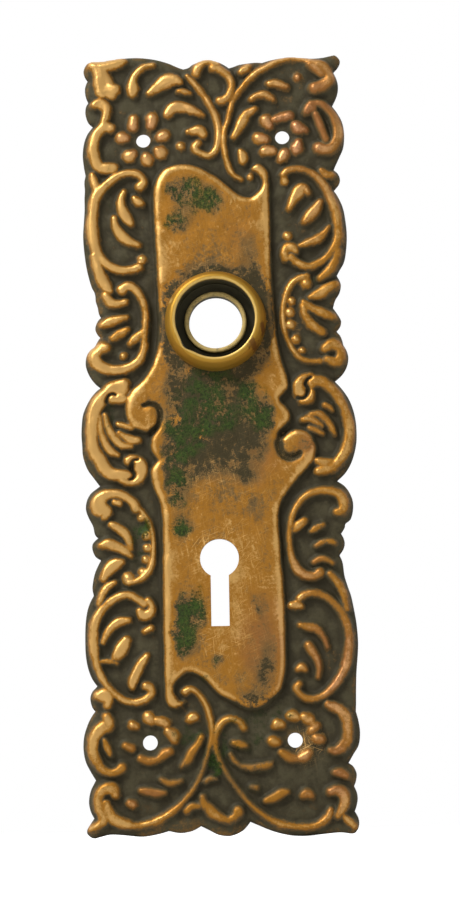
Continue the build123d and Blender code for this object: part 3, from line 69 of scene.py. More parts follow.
# Edge of the plate, clockwise from the top left: one run for each lobe, from its notch to the next.
OUTLINE: list[Plan] = [
    [(-30.5, 61.7), (-31.25, 62.9), (-31.5, 64.2), (-31, 65.6), (-30, 66.4), (-27, 66.6), (-23.5, 67.1),
     (-19, 67.4), (-14.5, 66.9), (-11, 65.9), (-8.4, 64.7)],
    [(-7, 64.15), (-5.7, 64.5), (-4.6, 65.3), (-2.4, 66.15), (-0.5, 66.3), (1.7, 65.7), (3.2, 64.9)],
    [(4.25, 64.15), (5.5, 64.5), (7, 65), (10.4, 65.4)],
    [(12.4, 65.3), (14.5, 65.9), (17.5, 66.4), (20, 66.5), (24.2, 66.1), (27, 66.2), (29.1, 66.6),
     (30.4, 66.7), (31.5, 65.3), (31, 63.8)],
    [(29.8, 62.4), (30.6, 60.5), (30.9, 58.5), (30.5, 56.4)],
    [(29.3, 53.8), (30.6, 51.9), (31.7, 49.5), (32.1, 46.5), (31.8, 43.4), (30.7, 40.8), (29.8, 38.9)],
    [(29.3, 37.7), (30.3, 36.7), (30.8, 35.3), (30.5, 34.1), (29.8, 33.2)],
    [(29.2, 32.5), (30.2, 30.9), (31.3, 28.2), (31.85, 25), (32.1, 21.5), (31.9, 18), (31.3, 14.8),
     (30.1, 12.6)],
    [(29.4, 11.3), (30.1, 9.9), (30.35, 8.7), (29.9, 6.9), (28.9, 5.3)],
    [(28.3, 3.3), (29.1, 2.15), (29.8, 1), (30.2, -0.1), (29.9, -1.3)],
    [(29, -2.5), (29.9, -3.6), (30.4, -5), (30.6, -5.9), (31.3, -7.2), (31.7, -9), (31.3, -11.1),
     (30.1, -13.1)],
    [(28.3, -14.7), (29.8, -16.4), (31.4, -18.8), (32.4, -21.3), (33, -24), (33.2, -26.5),
     (33.1, -29.6), (32.5, -32.4), (31.6, -34.8), (30.2, -37)],
    [(28.25, -38.85), (30, -40.1), (31.2, -41.85), (31.9, -44), (31.8, -46.3), (31.2, -48.1),
     (30, -49.1), (29.8, -50)],
    [(28.9, -51.5), (29.5, -52.7), (29.7, -54), (29.3, -55.3)],
    [(28.4, -56.6), (29.1, -58.5), (29.45, -61.5), (30.2, -64.2), (30.9, -66.4), (31.5, -69.6),
     (32, -73), (32.25, -77), (32.1, -80.1), (31.7, -84.2), (31.5, -88.1), (31.4, -91.6)],
    [(31.3, -93.5), (31.85, -95.7), (32.15, -98.5), (31.75, -101.3), (30.5, -103.4)],
    [(29.3, -105.4), (30.4, -106.3), (31.1, -107.9), (30.9, -109.6)],
    [(30.45, -110.8), (31.05, -112.3), (31.2, -113.8), (30.85, -115.5)],
    [(30.45, -116.6), (31.2, -118), (31.4, -119.5), (30.9, -121), (29.8, -121.7), (27, -121.4),
     (23, -121.7), (18.8, -122.05), (15, -121.8), (11.5, -120.9), (8.6, -119.7)],
    [(6.1, -118.6), (5.5, -119.4), (4.3, -120.6), (2.5, -121.5), (0.7, -121.8), (-1.5, -121.4),
     (-3.6, -120.3)],
    [(-5.4, -119.4), (-6.8, -120.2), (-8.3, -120.7), (-10.4, -120.9)],
    [(-12.9, -120.4), (-15.5, -121.1), (-19.1, -121.6), (-23.2, -121.2), (-26.5, -121), (-28.9, -121.5),
     (-30.5, -121.8), (-31.8, -120.9), (-31.95, -119.8), (-31.1, -118.4)],
    [(-30.3, -117.2), (-31.1, -115.6), (-31.5, -113.4), (-31.1, -110.95), (-30.2, -109.1)],
    [(-29.85, -108.4), (-31.1, -106.3), (-32.2, -104), (-32.7, -101.1), (-32.5, -98.1), (-31.6, -95.3),
     (-30.6, -93.4)],
    [(-29.85, -92.4), (-30.6, -91.3), (-31, -89.4), (-30.6, -87.9), (-29.8, -87)],
    [(-29.35, -86.5), (-30.6, -84.6), (-31.5, -82.1), (-32, -79.1), (-32.1, -75.6), (-32, -72),
     (-31.6, -69), (-30.9, -66.8)],
    [(-30, -65.1), (-30.3, -63.4), (-30.1, -61.6), (-29.65, -59.7), (-28.9, -58)],
    [(-28.2, -56.7), (-29.5, -55.8), (-30.2, -54.2), (-30.2, -52.9), (-29.65, -52.1)],
    [(-28.85, -51.4), (-29.6, -50.5), (-30.05, -48.5), (-31.1, -46.4), (-31.7, -44.5), (-31.5, -42.5),
     (-30.7, -40.9), (-29.8, -40.05)],
    [(-28.3, -38.95), (-29.8, -36.9), (-31.3, -34.7), (-32.3, -31.7), (-32.5, -29), (-32.65, -25.9),
     (-32.35, -22.1), (-31.6, -19.8), (-30.35, -17.5), (-29, -15.9)],
    [(-27.95, -15.1), (-29.4, -13.8), (-30.7, -11.9), (-31.4, -10), (-31.5, -8.5), (-31.15, -6.9),
     (-30.3, -5.7), (-29.3, -4.9), (-28.5, -3.5)],
    [(-27.9, -2.7), (-28.6, -1.9), (-29.1, -0.8), (-28.95, 0.4), (-28.4, 1.5)],
    [(-27.7, 2.2), (-28.2, 3.1), (-28.5, 4.7), (-28.95, 6.2), (-29.05, 7.5), (-29.3, 8.6),
     (-29.95, 9.9), (-30.6, 12.2), (-31.2, 15), (-31.7, 19), (-31.9, 22.6), (-31.7, 26), (-31.5, 29),
     (-31.5, 32), (-31.4, 34), (-31.5, 36)],
    [(-31.2, 37.75), (-31.6, 40), (-31.85, 43), (-31.5, 45.9), (-30.65, 48.2)],
    [(-29.3, 50), (-30.5, 51.3), (-31.1, 53.2), (-31, 55)],
    [(-30.4, 56.2), (-31, 57.7), (-31.2, 59.5), (-30.9, 60.9)],
]

# Edge of the raised panel, clockwise from its top hook, one run from corner to corner.
PANEL: list[Plan] = [
    [(9.1, 37.7), (10, 38.6), (11, 39), (12.2, 38.3), (13.15, 36.9), (13.4, 35), (13.4, 30), (13.5, 20),
     (13.5, 14), (13.7, 8), (13.8, 4), (14.1, 0), (14.3, -3), (15, -7), (15.7, -10), (16.5, -12.6),
     (17, -15), (16.85, -16.5), (15.8, -17.6)],
    [(14.9, -18.8), (15.3, -20), (16.3, -21), (17.2, -22.4), (17.3, -24), (16.5, -25), (15.6, -26),
     (14.65, -27.6)],
    [(16, -27.9), (17.1, -27.2), (18.9, -26.6), (21, -27), (22.5, -28.4), (23.3, -30.5), (23.2, -32),
     (22.5, -34.2), (20.8, -36.1), (18.9, -38.2), (17.3, -40.2), (15.9, -42.1), (14.65, -44.4),
     (14.1, -47), (14.1, -50.2), (14.4, -55), (14.65, -60), (14.9, -65.2), (15.1, -70), (15.15, -80),
     (15, -83.5), (14.5, -86), (13.85, -88.1), (12.2, -90), (10, -91.7), (8, -92.5), (6, -92.4),
     (4, -91.6), (2, -90.4), (-0.1, -89.3), (-1.5, -88), (-4, -85.3), (-6.2, -84), (-8.2, -83.8),
     (-9.9, -85), (-11, -86.2), (-11.35, -88), (-11, -89.3), (-10, -90.6)],
    [(-8.7, -90.5), (-9.7, -91.4), (-11, -91.95), (-12.4, -91.4), (-13.15, -89.5), (-13.3, -85),
     (-13.3, -70), (-13.3, -60), (-13.2, -50), (-13.3, -47.4), (-13.6, -44.2), (-14.2, -42.3),
     (-15, -40.5), (-15.7, -38.2), (-15.9, -36.3), (-15.5, -34.9)],
    [(-14.2, -33.3), (-15.5, -31.2), (-15.9, -29.8), (-15.7, -28), (-15, -26.6), (-14.1, -24.9)],
    [(-16.5, -26.2), (-17.6, -26.2), (-19.4, -25.5), (-20.8, -24.3), (-21.6, -22.8), (-21.8, -21),
     (-21.6, -19), (-21.1, -17.7), (-20.1, -16.1), (-18, -14.2), (-16.4, -12.2), (-15.2, -9.9),
     (-14.1, -6.6), (-13.6, -3.9), (-13.5, 0), (-13.6, 5), (-13.7, 10), (-14.2, 20), (-14.5, 28),
     (-14.4, 33), (-13.5, 36), (-12, 38), (-9.9, 39), (-7.2, 39.4), (-4.2, 38.8), (-1.6, 37.4),
     (0.5, 36.1), (3, 34), (6, 31.5), (8.3, 30.7), (9.9, 31.2), (11.3, 32.5), (12, 34.2), (11.5, 35.9),
     (10.5, 37)],
]

# Channels of the panel's volutes and curls of three scroll ends: x, z and half width.
CHANNELS: list[Plan] = [
    [(15.5, -27.3, 0.7), (14.8, -29, 0.7), (14.7, -31, 0.7), (15.5, -32.6, 0.7), (17.1, -33.3, 0.7),
     (18.8, -32.8, 0.6), (19.5, -32.3, 0.4)],
    [(-15.5, -26.4, 0.4), (-14.3, -25, 0.4), (-13.6, -23, 0.4), (-13.7, -21.3, 0.4),
     (-14.6, -20.1, 0.4), (-16, -19.6, 0.4), (-17.6, -20, 0.3)],
    [(-26.5, -18.7, 0.25), (-26.2, -17.7, 0.25), (-25.6, -17.1, 0.2), (-24.8, -16.9, 0.15),
     (-24.2, -17.2, 0.1)],
    [(-19, -32.9, 0.15), (-20.2, -33.2, 0.2), (-20.7, -34.5, 0.25), (-20.4, -35.7, 0.3),
     (-19.9, -36.4, 0.35), (-20.3, -37.4, 0.3), (-21.1, -37.7, 0.15)],
    [(22.6, -13.9, 0.1), (21.7, -14.4, 0.15), (21.2, -15.5, 0.2), (21.8, -16.5, 0.25),
     (21.7, -17.7, 0.25), (20.9, -18.8, 0.2), (20, -19, 0.2), (19.2, -18.7, 0.1)],
]

# Broad scroll bands: x, z and half the width of the crest along each line.
BANDS: list[Plan] = [
    [(-29.3, 65.9, 0.5), (-28.2, 64.8, 0.9), (-27.4, 62.5, 1.1), (-27.2, 60, 1.2), (-26.8, 58.2, 1.2)],
    [(-27, 58.3, 1.2), (-25.2, 58.9, 1.3), (-23.7, 58.8, 0.9)],
    [(-28.4, 65.2, 0.9), (-26, 65, 1.1), (-24, 65.6, 0.9), (-22.2, 66.3, 0.4)],
    [(-28.9, 55, 0.4), (-27.4, 55.3, 1), (-26, 54.2, 0.9), (-25.9, 52.3, 0.6), (-26.5, 50.5, 0.4)],
    [(-24.9, 49, 0.8), (-26.3, 49.3, 1), (-28.2, 47.6, 1), (-29.1, 44.5, 1), (-28.8, 41.5, 1),
     (-27.5, 39.2, 1), (-25.8, 38.9, 1.1), (-24.3, 38.9, 1)],
    [(-3.8, 62.4, 0.7), (-3.2, 64, 0.8), (-1.8, 65.3, 0.6), (-0.2, 65.4, 0.5), (1.2, 64.7, 0.6)],
    [(0.3, 63.6, 0.5), (1.6, 63.4, 0.7), (3.2, 62.3, 0.6), (4.5, 60.6, 0.5), (4.8, 58.6, 0.55),
     (4.2, 56.6, 0.6), (3, 55.4, 0.7), (2, 55.2, 0.7)],
    [(24.4, 64.6, 0.4), (26.8, 63.7, 0.8), (28.6, 61.6, 0.9), (28.6, 59.7, 1.1), (26.9, 58.4, 1.3),
     (25.4, 57.9, 1.3)],
    [(24, 63.9, 0.3), (25.7, 62.9, 0.8), (26.9, 61.5, 0.7)],
    [(24.2, 54, 0.5), (26.5, 53.8, 0.6), (28.8, 51.9, 0.8), (30.3, 48.8, 0.9), (30.5, 46, 0.9),
     (29.6, 43.6, 0.8), (27.8, 42.4, 0.9), (26, 42.7, 1.2)],
    [(23, 52, 0.6), (23.8, 53, 1), (24.6, 52.8, 0.7)],
    [(25.3, 51.2, 0.5), (26.2, 48.9, 0.6), (27, 46.5, 0.5), (27.6, 44.8, 0.5)],
    [(-17.8, 34.2, 0.7), (-16.9, 35.2, 0.5), (-17.8, 36.8, 0.45), (-19.4, 37.5, 0.45),
     (-21.5, 37.5, 0.45), (-24, 36.4, 0.5), (-26.2, 34.6, 0.6), (-28, 32.6, 0.9), (-29, 30.6, 0.9),
     (-29.3, 28, 0.8), (-29.6, 25, 1), (-29.4, 22, 1), (-28.8, 19, 0.8), (-27.5, 16.5, 0.7),
     (-25.6, 14.6, 0.6), (-23.5, 13.6, 0.6), (-21.5, 13.3, 0.6), (-19.5, 13.6, 0.6),
     (-18.2, 14.1, 0.5)],
    [(-29, 17, 0.6), (-28.3, 14.3, 0.8), (-27.3, 11.5, 1), (-26, 9.2, 0.8), (-25.2, 8.3, 0.3)],
    [(17, 36.2, 0.4), (18.2, 37.3, 0.4), (20, 37.6, 0.4), (22.2, 37.3, 0.4), (24.5, 36, 0.5),
     (26.4, 34, 0.6), (27.8, 31.4, 0.6), (28.7, 29, 0.7), (29.5, 26.4, 0.8), (29.9, 23.5, 0.8),
     (29.8, 20, 0.7), (28.7, 17.5, 0.65), (27, 15.3, 0.6), (25, 14, 0.6), (23, 13.2, 0.6),
     (21.3, 13.5, 0.6), (19.7, 14.4, 0.65), (18.6, 15.5, 0.7)],
    [(17.2, 15.3, 0.5), (16.9, 16.8, 0.6), (17.6, 18, 0.8), (18.8, 17.9, 0.9), (19.6, 17.1, 0.5)],
    [(29.8, 17, 0.5), (28.7, 13.8, 0.8), (27, 11.5, 0.8), (25.3, 10.2, 0.3)],
    [(-22.5, 8.5, 0.9), (-21, 9.4, 0.7), (-19.5, 8.7, 0.6), (-18.2, 7, 0.55), (-17.2, 4.8, 0.5),
     (-16.8, 2.3, 0.4), (-16.9, 0, 0.4), (-17.1, -3, 0.4), (-17.3, -6, 0.5), (-18.2, -8.4, 0.6),
     (-20, -10.1, 0.7), (-22.5, -11, 0.8), (-25, -11.1, 0.9), (-27.5, -10.3, 1.1), (-29, -8.7, 1.3),
     (-29.1, -7, 1.4), (-28, -5.9, 1.3), (-26.5, -5.7, 0.9)],
    [(26.2, -7, 0.8), (28, -6.2, 1.2), (29.6, -7, 1), (29.8, -8.8, 0.8), (28.8, -10.3, 0.9),
     (26.6, -9.7, 0.6)],
    [(-22.3, -14.6, 1), (-24.5, -15.6, 1.5), (-27, -17.3, 1.5), (-28.9, -19.8, 1.4), (-29.8, -23, 1.25),
     (-29.9, -27.8, 1.1), (-29.4, -30.5, 1.15), (-28.3, -32.4, 1.2), (-27, -34.7, 1.2),
     (-25.4, -36.2, 1.2), (-23, -36.6, 1.1), (-21.3, -36.9, 0.9)],
    [(-25.2, -18, 0.9), (-22.6, -18, 0.9)],
    [(-21.3, -33.3, 0.8), (-19.8, -32.9, 0.7), (-18.4, -34.2, 1), (-18.3, -36.2, 1.1),
     (-19.5, -37.8, 0.9), (-21.5, -38.3, 0.5), (-23, -37.9, 0.3)],
    [(21.9, -16, 0.9), (23.4, -14.9, 1.2), (25.4, -15.2, 1.1), (27.4, -16.8, 1), (29, -19, 0.95),
     (30.4, -21.8, 0.9), (31.3, -25, 0.95), (31.3, -28.4, 0.95), (30.4, -31.6, 0.9), (28.9, -34, 0.8),
     (27.2, -35.6, 0.6)],
    [(22.4, -13.7, 0.6), (20.8, -14.3, 0.8), (19.6, -15.8, 1), (19.9, -17.6, 1.1), (20.9, -18.2, 0.7)],
    [(20.4, -19.6, 0.4), (22, -19.2, 0.7), (22.6, -17.6, 0.5)],
    [(23.8, -34.3, 0.5), (25.2, -34.7, 0.8), (26.8, -34.4, 0.4)],
    [(27.4, -35.9, 0.5), (25.6, -36.2, 0.7), (23.8, -36.6, 0.5)],
    [(-27.2, -46.6, 0.6), (-26.8, -45.3, 1.2), (-28.2, -44.4, 1.9), (-28.2, -42.6, 1.6),
     (-26.4, -41.3, 1), (-24, -41.2, 0.7), (-21.8, -42, 0.6), (-20.3, -43.4, 0.7), (-19.6, -44.8, 0.7)],
    [(-18, -67.4, 0.7), (-19.4, -66.4, 0.55), (-21.2, -65.4, 0.5), (-23.2, -65.4, 0.5),
     (-25.2, -66.3, 0.55), (-27, -67.8, 0.6), (-28.6, -69.7, 0.7), (-29.6, -72, 0.8),
     (-29.9, -75, 0.85), (-29.8, -78.2, 0.75), (-29.3, -81.4, 0.6), (-28.3, -84.2, 0.5),
     (-26.6, -86.8, 0.4), (-24.4, -89, 0.4), (-22, -90.3, 0.45), (-19.8, -90.5, 0.45),
     (-17.8, -89.8, 0.5), (-16.5, -88.5, 0.6), (-16.7, -87.2, 0.6), (-17.8, -86.8, 0.6)],
    [(-17, -66.6, 0.3), (-16.2, -68, 0.5), (-16.6, -69.6, 0.7), (-18, -70.1, 0.9), (-19, -69.2, 0.5)],
    [(-29.2, -88.6, 0.6), (-27.8, -88.7, 1.3), (-26.6, -89.4, 0.9), (-26.8, -91.2, 0.5)],
    [(28, -46.6, 0.6), (29.3, -46.2, 0.8), (29.6, -44.3, 0.9), (28.8, -42.5, 0.8), (26.8, -41.6, 0.65),
     (24.4, -41.4, 0.55), (22.2, -41.8, 0.45), (20.2, -42.9, 0.35), (18.6, -44.8, 0.3),
     (17.4, -47.2, 0.3), (16.8, -50, 0.3), (16.6, -53, 0.3), (16.8, -56, 0.35), (17.4, -58.2, 0.6),
     (18.6, -60.2, 0.7), (20.4, -61.4, 0.7), (22.2, -61.6, 0.7), (23.6, -60.9, 0.8)],
    [(26, -61.3, 0.4), (27.4, -62.8, 0.6), (28.6, -64.8, 0.6), (29.3, -67, 0.5), (29.8, -69.6, 0.4)],
    [(18.6, -67, 0.4), (20.2, -65.9, 0.5), (22.2, -65.7, 0.5), (24.2, -66.3, 0.5), (26.2, -67.6, 0.55),
     (28, -69.6, 0.65), (29.3, -72, 0.65), (30, -74.8, 0.6), (30.1, -77.6, 0.6), (29.8, -80.4, 0.65),
     (29, -83.2, 0.65), (27.6, -85.8, 0.5), (25.8, -88, 0.45), (23.8, -89.7, 0.45), (21.6, -90.5, 0.45),
     (19.6, -90.2, 0.45), (18.2, -89.2, 0.4), (17.4, -87.9, 0.45), (18.2, -87, 0.4)],
    [(-27, -93.8, 0.7), (-26.8, -95.6, 1.3), (-28.6, -96.8, 1.2), (-30, -98.8, 1.05),
     (-30.3, -101.2, 1), (-29.7, -103.6, 0.9), (-28.4, -105.6, 0.7), (-26.4, -106.8, 0.55),
     (-24.6, -106.4, 0.6), (-23.6, -105.7, 0.8)],
    [(-25.2, -111.8, 0.6), (-26, -110.4, 1.2), (-28, -110.8, 1), (-29.1, -112.6, 0.9),
     (-29, -114.8, 0.8), (-28, -117.2, 0.9), (-28.6, -118.4, 0.7), (-30.8, -119.4, 0.5)],
    [(-27.4, -113.8, 0.5), (-27, -115.4, 0.9), (-25.8, -117.2, 1.1), (-23.8, -118.3, 0.9),
     (-22, -118.8, 0.6)],
    [(-4.9, -112.8, 0.4), (-4.6, -114.2, 0.6), (-3.4, -115.4, 0.8), (-2.2, -116.6, 0.9),
     (-0.4, -117.6, 0.5), (1.2, -118, 0.45), (2.6, -117.2, 0.6), (3.3, -116.2, 0.9)],
    [(24.7, -91.8, 0.5), (26, -92.4, 0.8), (27.8, -93.4, 0.9), (28.9, -95.2, 1), (29.2, -97.6, 1),
     (28.9, -100, 0.95), (27.8, -101.8, 0.9), (26.2, -102.6, 0.6), (25.2, -102.5, 0.4)],
    [(24.8, -112, 0.5), (26.4, -111.7, 0.9), (27.9, -112.8, 1), (28, -114.6, 0.8), (27.2, -116.4, 0.6),
     (26.4, -117.6, 0.3)],
]

# Slender stems: x, z and half the width of the crest along each line.
STEMS: list[Plan] = [
    [(-6, 61.8, 0.3), (-4.3, 60, 0.5), (-2.3, 57.2, 0.6), (-0.5, 54.3, 0.65), (0.8, 51.3, 0.7),
     (1.5, 48, 0.7), (1.3, 45, 0.65), (0.6, 42.8, 0.6), (-0.9, 41.6, 0.5), (-2.3, 41.9, 0.5),
     (-3.6, 42.6, 0.6), (-4.4, 43.7, 0.8), (-3.6, 44.8, 0.7)],
    [(27, 63, 0.5), (24.5, 64.7, 0.5), (22, 65.6, 0.5), (19, 65.7, 0.5), (16, 65, 0.5), (13, 63.4, 0.5),
     (11.1, 62.3, 0.5), (9, 60.5, 0.5), (7.4, 58.6, 0.5), (6, 56.7, 0.5), (5, 54.9, 0.5),
     (4.3, 52.5, 0.35), (3.7, 50, 0.35), (2.9, 47.6, 0.45), (2.7, 45, 0.45), (3, 42, 0.45),
     (3.4, 40, 0.45), (4.2, 37.7, 0.4), (5.2, 36.3, 0.3), (6.8, 35.4, 0.3)],
    [(22.3, 11, 0.5), (20.4, 10.6, 0.5), (18.9, 9.7, 0.5), (17.8, 8.2, 0.5), (17, 6.5, 0.5),
     (16.5, 4.5, 0.4), (16.2, 2, 0.35), (16.3, -1, 0.35), (17, -4, 0.35), (18.4, -7, 0.4),
     (20.2, -9.2, 0.4), (22.5, -10, 0.4), (25, -10, 0.4)],
    [(-18.8, -44.8, 0.3), (-17, -47.2, 0.3), (-15.9, -50.2, 0.3), (-15.6, -53.4, 0.3),
     (-15.8, -56.6, 0.4), (-16.4, -58.9, 0.6), (-17.8, -60.8, 0.6), (-19.8, -62, 0.5),
     (-21.6, -62.4, 0.5)],
    [(-22, -119, 0.5), (-19.4, -118.9, 0.5), (-16.6, -118.3, 0.5), (-13.8, -117.1, 0.55),
     (-11.2, -115.4, 0.55), (-9, -113.3, 0.5), (-7, -110.9, 0.45), (-5.4, -108.2, 0.4),
     (-4.2, -105, 0.35), (-3.2, -101.8, 0.4), (-2.5, -98.6, 0.45), (-2.6, -95.4, 0.4),
     (-3.3, -92.6, 0.4), (-4.4, -90.2, 0.35), (-5.9, -88.4, 0.3), (-7.4, -87.6, 0.35),
     (-8.6, -88.2, 0.6)],
    [(4.9, -96.9, 0.7), (4.2, -95.6, 0.6), (2.4, -94.7, 0.5), (0.4, -95.2, 0.5), (-1, -96.8, 0.55),
     (-1.7, -98.8, 0.6), (-1.6, -101.4, 0.6), (-0.8, -104.2, 0.5), (0.6, -107, 0.45),
     (2.4, -109.8, 0.45), (4.2, -112.2, 0.45), (6.2, -114.6, 0.4), (8.6, -116.6, 0.4),
     (11.4, -118.4, 0.45), (14.4, -119.5, 0.5), (17.6, -119.9, 0.55), (20.4, -119.9, 0.55),
     (22.6, -119.1, 0.6), (24.2, -117.6, 0.7), (24.9, -116.2, 0.5)],
]

